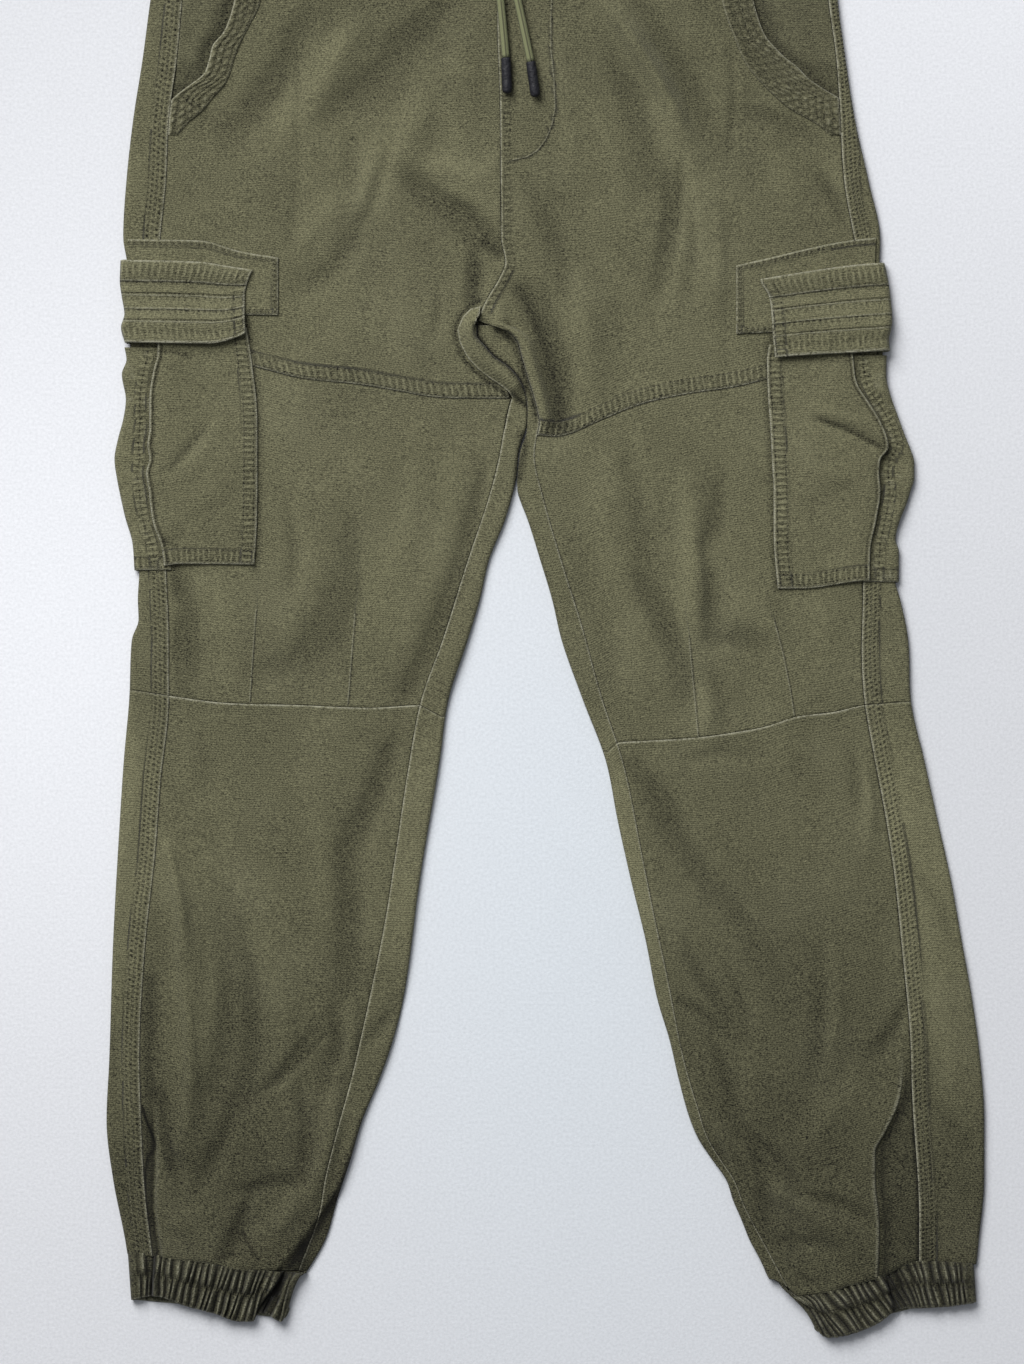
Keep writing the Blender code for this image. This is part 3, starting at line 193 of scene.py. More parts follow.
# Main creases: name, from across, down to across, down, half width, height
CREASES = {
    "r": (
        ("hip_under_band", -150, 109, -199, 188, 10, -2.0),
        ("hip_swell", -112, 116, -169, 199, 14, 2.2),
        ("hip_drag", -68, 116, -139, 180, 10, -1.5),
        ("fly_swell", -52, 154, -120, 259, 16, 2.2),
        ("crotch_drag", -75, 221, -8, 270, 9, -2.4),
        ("crotch_rise", -56, 210, -6, 232, 10, 1.8),
        ("hip_long", -111, 199, -118, 274, 8, -1.3),
        ("fly_valley", -19, 280, -21, 313, 5, -2.2),
        ("inseam_dip", -14, 439, -71, 608, 7, -1.4),
        ("below_pocket", -239, 556, -239, 578, 5, -1.8),
        ("knee_soft", -122, 521, -150, 585, 11, -1.2),
        ("shin_inner", -88, 656, -116, 731, 8, -1.8),
        ("shin_inner_low", -116, 731, -118, 825, 8, -1.4),
        ("calf_ridge", -248, 731, -232, 941, 12, 3.0),
        ("calf_soft", -204, 784, -214, 904, 11, -1.5),
        ("hem_diagonal", -141, 862, -178, 904, 5, -1.4),
        ("hem_cross", -195, 980, -148, 973, 5, -1.6),
        ("hem_pull", -188, 985, -208, 1033, 6, -2.2),
    ),
    "l": (
        ("hip_ridge", 75, 86, 142, 199, 10, 3.2),
        ("hip_side", 99, 86, 154, 191, 9, -2.0),
        ("pleat_drop", 126, 221, 119, 304, 6, -2.2),
        ("pleat_rise", 144, 210, 150, 285, 10, 2.0),
        ("crotch_gutter", 24, 308, 44, 407, 7, -2.2),
        ("crotch_swell", 58, 304, 69, 390, 12, 2.0),
        ("side_bulge", 250, 214, 260, 244, 6, 1.6),
        ("thigh_drop", 165, 450, 153, 499, 6, -1.8),
        ("thigh_drop_low", 153, 499, 159, 566, 6, -2.2),
        ("thigh_ridge", 140, 454, 143, 574, 10, 2.6),
        ("thigh_hook", 159, 566, 190, 572, 5, -1.6),
        ("knee_soft", 105, 525, 142, 596, 10, -1.5),
        ("knee_ridge", 148, 596, 156, 638, 7, 1.6),
        ("shin_diagonal", 94, 660, 146, 739, 8, -1.6),
        ("shin_diagonal_low", 146, 739, 202, 810, 8, -1.2),
        ("calf_soft", 141, 806, 182, 883, 6, -1.3),
        ("hem_diagonal", 184, 938, 225, 982, 6, -2.0),
        ("hem_diagonal_low", 225, 982, 281, 1007, 6, -2.0),
        ("hem_swell", 199, 975, 270, 1028, 9, 2.2),
    ),
}
# Edge of the pleat that falls over the side seam above each hem: down, across
PLEAT = {
    "r": ((611, -241), (731, -251), (836, -260), (919, -259), (956, -258), (986, -259), (1030, -254)),
    "l": ((611, 266), (739, 288), (859, 300), (881, 303), (911, 300), (936, 289), (950, 282),
          (971, 282), (1005, 285), (1043, 284)),
}
PLEAT_TOP = {"r": 900.0, "l": 872.0}
PLEAT_RISE = {"r": 2.2, "l": 3.0}
PLEAT_WEAR = {"r": 0.12, "l": 0.5}

# Cargo pocket: down, across of the edge towards the fly, across of the free edge over the bellows
POCKET = {
    "r": ((332, -190, -256.5), (352, -186.5, -256.5), (364, -185, -259.5), (386, -182.3, -262.5),
          (409, -181.5, -262.5), (420, -181.5, -264), (431, -181.5, -262.5), (441, -181.5, -265),
          (454, -181.5, -263), (465, -181.7, -262), (480, -182, -259.5), (495, -182.8, -254),
          (512, -184, -251.5)),
    "l": ((345, 201.5, 264), (357, 200, 265), (375, 200.5, 268), (388, 201, 276), (400, 202, 283.5),
          (415, 203, 290), (422, 203.3, 291), (431, 203.7, 285), (442, 204.3, 284), (454, 205, 285),
          (476, 205, 282), (499, 205.5, 277.5), (527, 208, 277)),
}
# Lower edge of the cargo pocket: across, down
POCKET_FOOT = {
    "r": ((-282, 514), (-268, 514.5), (-251, 511), (-240, 509.5), (-184, 510)),
    "l": ((208, 528), (225, 528), (277, 522), (299, 523.5)),
}
# Outer fold of the bellows: down, across
BELLOWS = {
    "r": ((347, -281.5), (356, -280), (367, -283.5), (386, -280.5), (401, -282.5), (416, -286.5),
          (431, -289), (446, -287), (461, -284), (476, -280.5), (491, -276), (514, -274)),
    "l": ((352, 290), (367, 289.5), (382, 292.5), (395, 297), (414, 304), (424, 308), (433, 310.5),
          (445, 310.5), (454, 308), (465, 304.5), (476, 300), (491, 296.5), (500, 299), (524, 299)),
}
BELLOWS_TOP = {"r": 347.0, "l": 353.0}
# Flap: down, across of the edge towards the fly, across of the outer fold
FLAP = {
    "r": ((283, -182, -284.5), (297, -188.5, -285), (309, -191, -283.5), (322, -191, -281.5),
          (332, -190.5, -284), (344, -189.5, -281)),
    "l": ((290, 194.5, 289.5), (300, 196, 291.5), (308, 201, 292.5), (326, 203.5, 294), (334, 204, 293),
          (341, 204.5, 291.5), (351, 205.5, 292.5)),
}
# Upper and lower edge of the flap, and of the reinforcing patch behind it: across, down
FLAP_HEAD = {"r": ((-286, 281.5), (-225, 283), (-205, 286), (-182, 289.5)),
             "l": ((194.5, 296), (225, 291), (268, 285), (292, 283.5))}
FLAP_FOOT = {"r": ((-286, 343.5), (-218, 344.5), (-195, 339), (-188, 335)),
             "l": ((205, 355), (232, 353), (270, 351), (293, 349.5))}
PATCH_HEAD = {"r": ((-286, 266), (-225, 267), (-195, 275), (-165, 280)),
              "l": ((176, 286), (210, 278), (240, 271), (262, 267), (290, 264))}
PATCH_FOOT = {"r": ((-286, 322), (-165, 323)), "l": ((176, 337), (200, 336), (290, 330))}
PATCH_EDGE = {"r": -166.0, "l": 177.0}
FLAP_RADIUS = 5.0
BELLOWS_RADIUS = 4.5
UNDER_REACH = 32.0  # how far flap and bellows go on under the leg
RAMP = (37.0, 49.0)  # how far in from its fold the back starts down to the floor, and is down on it

# Cuffs: down, across of each end, at the hem and at the free edge
CUFF = {
    "r": {"head": ((-280, 1024.5), (-259, 1026.5), (-225, 1032.5), (-180, 1038.5), (-144, 1041)),
          "foot": ((-277, 1061), (-260, 1058), (-236, 1065), (-214, 1071), (-195, 1077),
                   (-186, 1077), (-180.5, 1071), (-176, 1071), (-164, 1077), (-157, 1063)),
          "ends": ((-279, -145), (-276.5, -158)), "gathers": 24, "slant": -4.0},
    "l": {"head": ((206, 1045), (225, 1057.5), (250, 1053.5), (262, 1048.5), (284, 1042.5),
                   (315, 1031.5), (356, 1033.5)),
          "foot": ((229, 1073), (246, 1089), (259, 1087.5), (284, 1078), (295, 1070), (304, 1067),
                   (334, 1066), (357, 1062.5)),
          "ends": ((207, 355), (235, 357)), "gathers": 26, "slant": 2.0},
}

# Drawstring: across and down of the route's points, from its buttonhole in the waistband
DRAWSTRING = {
    "r": ((-10.5, 16), (-9, 30), (-6.5, 44), (-3.5, 62), (-0.5, 80), (1.2, 96), (2.8, 112), (4.4, 130)),
    "l": ((6, 16), (7, 30), (8.5, 44), (10, 62), (11.8, 80), (15.6, 98), (19, 114), (23, 133)),
}
AGLET_AIM = {"r": (5.6, 160.5), "l": (27, 161.5)}
# Rounded ends of a tip: distance in from the end, girth as a share of the tip's
AGLET_HEAD = ((0.3, 0.86), (0.7, 0.95), (1.3, 1.0))
AGLET_END = ((2.4, 0.97), (1.5, 0.9), (0.8, 0.78), (0.3, 0.6), (0.0, 0.4))

# Finer folds between the main creases: the same columns but for the name
FINE_CREASES = {
    "r": (
        (-112, 30, -169, 112, 12, 0.7), (-99, 686, -96, 806, 9, 0.8), (-30, 420, -82, 585, 9, 0.6),
        (0, 200, -20, 228, 8, 0.7), (-34, 82, -74, 121, 9, -1.6), (-81, 190, -112, 270, 6, -1.8),
        (-111, 274, -150, 304, 8, -1.2), (-45, 240, -2, 274, 6, -2.4), (-45, 227, 0, 254, 8, 1.4),
        (-19, 275, -20, 316, 5, -1.6), (-46, 306, -48, 338, 4, -0.9), (-57, 346, -54, 370, 4, -0.9),
        (-158, 101, -159, 270, 2.5, -0.6), (-112, 116, -136, 139, 9, 1), (-28, 131, -38, 221, 12, 0.9),
        (-150, 274, -128, 244, 8, 0.9), (-112, 484, -120, 566, 8, -1.5), (-126, 566, -178, 590, 7, -1.3),
        (-14, 446, -69, 608, 5, -1.6), (-163, 454, -155, 529, 5, -0.9), (-150, 469, -141, 536, 9, 0.9),
        (-236, 518, -234, 604, 7, -1.8), (-214, 529, -196, 566, 9, 1), (-60, 409, -96, 566, 12, 0.8),
        (-81, 645, -105, 707, 6, -1.8), (-116, 709, -117, 839, 7, -1.2), (-225, 645, -220, 680, 8, -0.9),
        (-142, 664, -134, 806, 8, 0.7), (-249, 724, -238, 806, 4, 1.8), (-240, 806, -237, 949, 5, 1.6),
        (-193, 784, -190, 911, 6, -2), (-198, 911, -229, 982, 7, -1.5), (-131, 862, -178, 905, 2.6, -1.2),
        (-124, 845, -124, 900, 6, -1.6), (-110, 842, -118, 889, 5, 1.8), (-122, 892, -144, 990, 6, 2.4),
        (-78, 840, -98, 866, 5, -1.4), (-172, 806, -158, 934, 10, 0.9), (-150, 980, -174, 1016, 9, 2.2),
        (-254, 934, -238, 986, 5, -1.6), (-248, 998, -236, 1016, 6, 1.2), (-150, 900, -147, 971, 5, -1.4),
        (-214, 806, -221, 896, 7, 1.2), (-278, 611, -281, 731, 7, 0.9), (-294, 844, -291, 926, 6, -0.9),
    ),
    "l": (
        (75, 60, 110, 130, 11, 1.3), (255, 205, 267, 262, 5, 0.9), (199, 530, 221, 570, 6, -0.7),
        (162, 596, 170, 640, 5, -0.9), (143, 656, 195, 652, 6, -0.7), (84, 131, 116, 225, 9, -1.8),
        (78, 92, 138, 188, 5, 1.6), (136, 210, 123, 280, 3.5, -2.2), (144, 244, 142, 305, 5, -1.5),
        (160, 229, 164, 311, 7, 1.3), (22, 225, 56, 326, 7, -1.2), (64, 158, 94, 236, 6, 1),
        (75, 278, 116, 352, 5, 0.8), (169, 101, 170, 210, 2.5, -0.8), (180, 170, 234, 191, 7, -1.2),
        (240, 220, 260, 259, 4, -1.6), (171, 311, 173, 382, 7, -1.4), (34, 311, 47, 407, 6, -2.2),
        (202, 199, 225, 248, 12, 1.1), (195, 101, 150, 71, 8, 1), (45, 131, 54, 214, 9, 0.9),
        (96, 439, 109, 529, 9, -1.3), (106, 521, 141, 604, 6, -1.8), (178, 476, 182, 538, 9, 1.1),
        (171, 559, 204, 572, 7, -1.2), (240, 536, 246, 578, 9, 0.9), (75, 476, 105, 611, 12, 0.8),
        (105, 416, 111, 476, 7, 0.8), (105, 660, 132, 709, 5, -1.4), (132, 709, 159, 763, 5, -1.4),
        (273, 660, 276, 724, 5, 1.3), (262, 649, 268, 690, 4, -1), (137, 791, 152, 826, 3, -1.2),
        (137, 838, 171, 865, 4, -1.6), (170, 812, 186, 871, 3.2, -1.2), (159, 866, 178, 935, 5, -1.2),
        (239, 802, 234, 898, 6, -1.1), (250, 802, 246, 885, 6, 1), (304, 838, 283, 876, 5, -1.8),
        (191, 946, 219, 976, 3, 1.6), (193, 955, 200, 1007, 7, -1.8), (201, 1018, 249, 1022, 4, -1.1),
        (152, 917, 177, 961, 3.5, 1.5), (154, 943, 170, 962, 4, -1.2), (311, 739, 341, 796, 5, -1),
        (326, 917, 351, 950, 5, -1.1), (330, 836, 338, 911, 8, 1), (195, 611, 218, 731, 12, 0.8),
        (150, 836, 195, 919, 7, 1), (262, 904, 225, 949, 12, 0.9),
    ),
}
# Creases of facings, pocket faces and bellows, with the main creases' columns
FACING_CREASES = {
    "r": (("soft_fold", -216, 60, -226, 128, 5, 0.9),),
    "l": (("soft_fold", 205, 60, 226, 118, 5, 0.9),),
}
POCKET_CREASES = {
    "r": (
        ("face_fold", -221, 405, -249, 440, 5, -1.5),
        ("face_ridge", -210, 408, -240, 446, 6, 1.0),
        ("foot_fold", -200, 452, -250, 492, 5, -1.2),
        ("head_fold", -240, 370, -228, 390, 5, -0.9),
        ("face_swell", -215, 400, -205, 470, 10, 0.8),
        ("below_flap", -256, 348, -232, 353, 3.5, -1.3),
    ),
    "l": (
        ("face_ridge", 238, 394, 284, 414, 4.5, 2.0),
        ("face_trough", 236, 402, 286, 424, 3.5, -2.0),
        ("face_drag", 225, 475, 262, 446, 5, -0.9),
        ("face_swell", 240, 440, 272, 448, 9, 0.8),
    ),
}
BELLOWS_CREASES = {
    "r": (
        ("upper", -266, 372, -281, 368, 5, 0.9),
        ("middle", -266, 432, -286, 425, 6, 1.1),
        ("lower", -262, 470, -280, 482, 5, -1.0),
    ),
    "l": (
        ("upper", 272, 380, 292, 384, 5, 0.9),
        ("middle", 288, 432, 309, 436, 4, -1.0),
        ("lower", 284, 468, 300, 474, 6, 1.0),
    ),
}
# Sewn darts of the thighs and the edge of the fly's stitching: routes of across, down
DARTS = {
    "r": (((-183, 545), (-187.5, 611)), ((-108.8, 547.5), (-114, 613.5))),
    "l": (((141.8, 566), (148.5, 639)), ((206, 553.5), (212.3, 577.5), (217.5, 603.8), (220.5, 622.5))),
}
FLY = ((39.8, 60), (38.2, 101), (38.2, 124), (40.5, 146), (41.3, 169), (39, 180), (34.5, 191), (28.5, 199),
       (21, 204), (9.8, 206.5))
# Where the right leg's cloth folds back over its inner side above the hem: down, across
HEM_FOLD = ((926, -103.5), (951, -112.5), (967, -118.5), (981, -125), (1002, -139), (1020, -152),
            (1034, -164))
# Painted shadows on the cloth, and the dark lines of the hip bands' bartacks: pieces, half width, depth,
# route of across, down
SHADOWS = (
    ("front_upper_r", 1.8, 0.7, (-14, 311), (-23, 316), (-30, 323), (-34, 334), (-32, 345), (-27, 356),
     (-19, 365), (-10, 372), (-1, 378), (5, 383), (9, 387)),
    ("front_upper_r", 4, 0.4, (-11, 268), (-1, 276)),
    ("front_upper_r", 4, 0.35, (-18, 285), (-20, 308)),
    ("front_upper_l", 6, 0.5, (14, 303), (20, 316), (27, 330), (33, 345), (38, 362), (42, 380), (45, 398),
     (47, 408)),
    ("back_upper_l", 3.6, 0.7, (-2, 334), (8, 340), (13, 346), (15.5, 354), (19, 366), (24, 382),
     (28, 398)),
    ("back_upper_l back_upper_r", 2.2, 0.75, (-17, 330), (-17, 338), (-11, 346), (-4, 354), (6, 361),
     (14, 370), (18.5, 380)),
    ("back_upper_r", 2.2, 0.8, (9, 382), (18, 389), (27, 396)),
    ("back_upper_l", 3, 0.6, (18, 408), (19, 420), (14, 446)),
    ("back_upper_r", 3, 0.5, (16, 412), (13, 446)),
    ("hip_band_r", 0.7, 0.5, (-239, 158), (-226, 170)),
    ("hip_band_r", 0.7, 0.5, (-237, 156), (-224, 168)),
    ("front_shin_r", 6, 0.45, (-262, 821), (-263, 880), (-263, 905)),
    ("front_shin_r", 6, 0.4, (-256, 905), (-250, 930), (-247, 960)),
    ("front_shin_r", 1.6, 0.6, (-193, 1010), (-187, 1022), (-181, 1031)),
    ("front_shin_r", 1.4, 0.6, (-212, 1030), (-200, 1026)),
    ("front_shin_l", 1.6, 0.5, (224, 1040), (232, 1046), (246, 1046)),
    ("back_lower_l", 2.0, 0.6, (303, 1020), (308, 1030), (306, 1036)),
    ("back_lower_l", 1.2, 0.6, (321, 1004), (320, 1030)),
    ("front_shin_r", 1.3, 0.97, (-268, 916), (-264.8, 927), (-260.5, 937), (-258.4, 944), (-259.5, 949),
     (-263, 952), (-264.5, 957), (-266, 965), (-265.8, 980), (-264.6, 994), (-262.6, 1014), (-261.5, 1024)),
    ("front_shin_r back_lower_r", 4.2, 0.85, (-100, 926), (-108.5, 951), (-120.5, 981), (-134, 1002),
     (-146.5, 1020), (-157, 1034)),
    ("front_shin_r back_lower_r", 5, 0.7, (-147, 1020), (-149, 1036)),
    ("cuff_r", 1.7, 0.92, (-258.5, 1024), (-259.5, 1042), (-260.8, 1060)),
    ("cuff_r", 3.4, 0.9, (-160, 1038), (-169, 1056), (-179.5, 1074)),
    ("cuff_l", 2.2, 0.7, (289, 1040), (292, 1055), (296, 1072)),
    ("front_upper_l", 32, 0.12, (45, 250), (75, 330)),
    ("front_shin_l", 60, 0.08, (180, 640), (240, 1000)),
    ("front_shin_r", 50, 0.06, (-170, 780), (-190, 960)),
    ("cargo_pocket_r", 2, 0.45, (-256, 350), (-245, 350), (-232, 354)),
    ("cargo_pocket_r", 2.5, 0.3, (-221, 408), (-247, 438)),
    ("cargo_pocket_r", 2.5, 0.25, (-199, 454), (-225, 484), (-249, 491)),
    ("cargo_pocket_r", 2, 0.5, (-253, 492), (-244, 495)),
    ("cargo_pocket_l", 2, 0.55, (240, 401), (255, 406.5), (270, 414), (285, 421.5)),
    ("cargo_pocket_l", 2.5, 0.3, (205, 352), (240, 356), (268, 352)),
    ("cargo_pocket_l", 3, 0.2, (232, 470), (262, 448)),
    ("front_thigh_r", 4, 0.4, (-244, 511), (-242, 532)),
    ("front_thigh_l", 4, 0.4, (273, 530), (288, 531)),
)
# Where a cuff steps down to a lower fold: across at the hem and at the free edge, side of the lower fold,
# reach of the step and its depth as a share of the deepest
CUFF_STEPS = {"r": ((-258.5, -260.5, -1, 5, 0.85), (-163, -184, 1, 9, 1.0)), "l": ((288, 295, 1, 16, 0.8),)}
# How pale the cloth is down its length, partly from abrasion and partly painted shade: down, share of the
# cloth's own colour
PALENESS_DOWN = ((0, 0.86), (86, 0.88), (150, 1.02), (260, 1.06), (400, 1.12), (480, 1.12), (620, 1.04), (740, 1.02),
          (820, 0.88), (900, 0.71), (960, 0.61), (1020, 0.56), (1060, 0.52))
CALF_PALER = {"r": 0.26, "l": 0.36}  # how much paler the backs are along the calves
POCKET_SHADE = {"r": 0.885, "l": 0.93}  # shade of the cargo pockets' faces
FOLD_DEPTH = 2.2  # how much deeper the worn cloth's creases are than the plain form's
BOW = 0.05  # how far a crease bows to one side, as a share of its length
# Flap across its height, as shares: rise of the tucks, then centre, width and strength of the stitching
FLAP_ROWS = (0.0, 0.13, 0.24, 0.30, 0.38, 0.46, 0.54, 0.62, 0.70, 0.80, 0.88, 0.94, 1.0)
FLAP_RAISED = (0.0, 0.5, 0.0, -0.1, 0.6, -0.1, 0.6, -0.1, 0.6, 0.5, -0.1, 0.5, 0.1)
FLAP_STITCHING = ((0.13, 0.1, 1.0), (0.46, 0.03, 0.7), (0.62, 0.03, 0.7), (0.78, 0.03, 0.6),
                  (0.88, 0.06, 0.9))
FLAP_TUCKS = (0.245, 0.42, 0.58, 0.74)

# Camera, above the garment and square to the surface
VIEW_HEIGHT = 1023.0
VIEW_CENTRE = (-25.05, -53.25)
CAMERA_HEIGHT = 6000.0
SENSOR = 36.0

# Lights: name, place, aim, size and power in metres and watts, colour
LIGHTS = (
    ("window", (-2.2, 3.6, 3.9), (0.0, 0.0, 0.0), 3.8, 438.0, (1.0, 0.985, 0.96)),
    ("lamp", (-0.9, 0.6, 3.0), (-0.4, 0.3, 0.0), 1.4, 5.0, (1.0, 0.99, 0.97)),
)
SKY = 0.21
SKY_COLOUR = (0.93, 0.96, 1.0, 1.0)
FLOOR_SIZE = 4.0
FLOOR_DROP = 0.0004


# ---------------------------------------------------------------- helpers


def curve(rows):
    """A smooth function through (place, value) rows, straight beyond the ends. It takes arrays."""
    t = np.array([row[0] for row in rows], float)
    v = np.array([row[1] for row in rows], float)
    slopes = np.diff(v) / np.diff(t)
    inside = np.where(slopes[:-1] * slopes[1:] > 0, 0.5 * (slopes[:-1] + slopes[1:]), 0.0)
    limit = 2.5 * np.minimum(abs(slopes[:-1]), abs(slopes[1:]))
    tangent = np.concatenate(([slopes[0]], np.clip(inside, -limit, limit), [slopes[-1]]))

    def read(x):
        x = np.asarray(x, float)
        k = np.clip(np.searchsorted(t, x) - 1, 0, len(t) - 2)
        step = t[k + 1] - t[k]
        f = np.clip((x - t[k]) / step, 0, 1)
        value = (v[k] * (1 + 2 * f) * (1 - f) ** 2 + tangent[k] * step * f * (1 - f) ** 2
                 + v[k + 1] * f * f * (3 - 2 * f) + tangent[k + 1] * step * f * f * (f - 1))
        return value + tangent[0] * np.minimum(x - t[0], 0) + tangent[-1] * np.maximum(x - t[-1], 0)

    return read


def both(tables):
    """A curve for each side of the garment."""
    return {side: curve(tables[side]) for side in SIDES}


def edges_of(table):
    """Curves of a piece's two edges, from rows of down and across of each."""
    return curve([row[:2] for row in table]), curve([(row[0], row[2]) for row in table])


def ease(low, high, x):
    """0 up to low and 1 from high on, smooth between them."""
    f = np.clip((x - low) / (high - low), 0.0, 1.0)
    return f * f * (3 - 2 * f)


def mix(a, b, f):
    """a where f is 0, b where it is 1."""
    return a + (b - a) * f


def world(points):
    """Garment places (across, down, height) as the frame's metres."""
    p = np.asarray(points, float)
    return np.stack((CENTRE_FRONT_X + p[..., 0], WAIST_TOP_Y - p[..., 1], p[..., 2]), -1) * MM


def bell(x, width):
    """1 where x is 0, falling off to both sides over about that width."""
    return np.exp(-(x / width) ** 2)


def between(rise, fall, x):
    """1 on a stretch and 0 outside it: x eases up over the rise and down over the fall."""
    return ease(*rise, x) * (1 - ease(*fall, x))


def put(mesh, material, node=None):
    """The mesh as a smooth piece on the frame's body, in its node's place where it has one."""
    mesh.shade_smooth()
    mesh.materials.append(material)
    obj = bpy.data.objects.new(mesh.name, mesh)
    bpy.context.scene.collection.objects.link(obj)
    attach(obj, "root")
    if node:
        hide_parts(node)
    return obj


def mesh_of(bm, name):
    """The mesh built up in a bmesh, which is freed."""
    mesh = bpy.data.meshes.new(name)
    bm.to_mesh(mesh)
    bm.free()
    return mesh


def graded(length, step, close=(0.0, 0.6, 1.3, 2.2, 3.4)):
    """Shares of a run of that length in mm, close together at its two ends."""
    count = max(int(round((length - 2 * close[-1]) / step)), 2)
    middle = np.linspace(close[-1], length - close[-1], count + 1)[1:-1]
    return np.concatenate((close, middle, length - np.array(close[::-1]))) / length


@lru_cache(None)
def swells(seed):
    """A table of uneven heights from -1 to 1."""
    return np.random.default_rng(seed).uniform(-1, 1, (256, 256))


def relief(x, y, cell, seed):
    """Smooth uneven heights from -1 to 1, with swells of about that cell's size."""
    table = swells(seed)
    gx, gy = x / cell + 97.3, y / cell + 41.7
    i, j = np.floor(gx).astype(int), np.floor(gy).astype(int)
    fx, fy = ease(0, 1, gx - i), ease(0, 1, gy - j)

    def corner(a, b):
        return table[(i + a) % 256, (j + b) % 256]

    return mix(mix(corner(0, 0), corner(1, 0), fx), mix(corner(0, 1), corner(1, 1), fx), fy)


outer, inner, side_seam, inseam = both(OUTER), both(INNER), both(SIDE_SEAM), both(INSEAM)
front_edge, opening, band_edge = both(FRONT_EDGE), both(OPENING), both(BAND_EDGE)
thigh_seam, knee_seam, hem, pleat = both(THIGH_SEAM), both(KNEE_SEAM), both(HEM), both(PLEAT)
pocket_foot, bellows_fold = both(POCKET_FOOT), both(BELLOWS)
flap_head, flap_foot = both(FLAP_HEAD), both(FLAP_FOOT)
patch_head, patch_foot = both(PATCH_HEAD), both(PATCH_FOOT)
UPPER_END = {side: float(thigh_seam[side](0.0)) for side in SIDES}
KNEE = {side: float(knee_seam[side](inseam[side](620 if side == "r" else 650))) for side in SIDES}


# ---------------------------------------------------------------- the cloth's face


def calm(side, across, down):
    """0 on the stretches under pockets, which lie smooth, and 1 away from them."""
    outwards = OUTWARD[side]
    past_pocket = outwards * (across - PATCH_EDGE[side])
    foot = pocket_foot[side](across)
    cargo = ease(-14, 0, past_pocket) * between((250, 262), (foot + 1, foot + 16), down)
    past_band = outwards * (across - band_edge[side](down))
    hip = ease(-14, 0, past_band) * (1 - ease(196, 210, down))
    return (1 - cargo) * (1 - hip)


def fold_lines(rows, across, down):
    """Heights of the creases in those rows: soft ridges and troughs that run out at both ends."""
    across, down = np.broadcast_arrays(np.asarray(across, float), down)
    total = np.zeros(across.shape)
    waver = 0.8 * relief(across, down, 15, 7)
    low_x, high_x, low_y, high_y = across.min(), across.max(), np.min(down), np.max(down)
    for *_, x0, y0, x1, y1, half_width, height in rows:
        wide = 4 * half_width + 6
        if (max(x0, x1) < low_x - wide or min(x0, x1) > high_x + wide
                or max(y0, y1) < low_y - wide or min(y0, y1) > high_y + wide):
            continue
        reach = math.hypot(x1 - x0, y1 - y0)
        run = ((across - x0) * (x1 - x0) + (down - y0) * (y1 - y0)) / reach
        off = ((across - x0) * (y1 - y0) - (down - y0) * (x1 - x0)) / reach
        part = run / reach
        off = off - BOW * reach * np.sin(np.pi * np.clip(part, 0, 1)) + waver
        wide = half_width * mix(0.8, 1.25, np.clip(part, 0, 1))
        past = np.maximum(np.maximum(-part, part - 1), 0) * reach / (1.4 * half_width)
        taper = mix(0.45, 1.0, np.sin(np.pi * np.clip(part, 0, 1)))
        total += height * taper * np.exp(-(off / wide) ** 2 - past ** 2)
    return total


def roll_rise(side, across, down):
    """The rolled ridge of the left front beside the crotch, steep towards the gutter next to it."""
    if side != "l":
        return 0.0
    middle = inseam["l"](np.maximum(down, MEETING)) + 5.3 - 2.2 * (1 - ease(308, MEETING, down))
    apart = (across - middle) / 6.4
    ridge = np.clip(1 - abs(apart) ** 3.5, 0, 1) ** 1.4
    return 6.4 * ridge * between((306, 334), (396, 416), down)


def pleat_rise(side, across, down):
    """The cloth gathered into the hem stands over the side seam."""
    inside = -OUTWARD[side] * (across - pleat[side](down))
    swell = ease(0.0, 1.6, inside) * (1 - 0.75 * ease(18, 95, inside))
    return PLEAT_RISE[side] * ease(0, 60, down - PLEAT_TOP[side]) * swell


def face(side, across, down):
    """Height of the garment's face over the floor."""
    loose = calm(side, across, down)
    rise = FOLD_DEPTH * fold_lines(CREASES[side] + FINE_CREASES[side], across, down)
    turned_x, turned_y = 0.8 * across + 0.6 * down, 0.8 * down - 0.6 * across
    rise = (rise + 0.7 * relief(across, 0.35 * down, 22, 3) + 0.7 * relief(turned_x, turned_y, 37, 4)
            + 0.1 * relief(turned_x, turned_y, 9, 5))
    rise = rise * loose + roll_rise(side, across, down) + pleat_rise(side, across, down)
    if side == "r":
        beyond = across - hem_fold(down)
        rise = rise - 3.4 * ease(0, 2.4, beyond) * ease(924, 985, down)
    return LAID + np.where(rise < 0, -2.7 * np.tanh(-rise / 2.7), rise)


def laid(side, across, down, above=0.0):
    """Places on the garment's face, or that far above it."""
    return np.stack((across, down, face(side, across, down) + above), -1)


def lifted(side, across, down):
    """How high the back lies over the floor: it lies on what passes under it."""
    reach = OUTWARD[side] * (outer[side](down) - across)
    foot = pocket_foot[side](across)
    return (POCKET_LAYER * (1 - ease(RAMP[0] + 0.5, RAMP[1] - 0.5, reach)) * ease(256, 272, down)
            * (1 - ease(foot + 10, foot + 32, down)))


# ---------------------------------------------------------------- pieces of cloth

CLOTH_LABELS = ("wear", "pucker", "along", "tone", "off", "hold", "row", "quilt")
paleness_down, hem_fold = curve(PALENESS_DOWN), curve(HEM_FOLD)


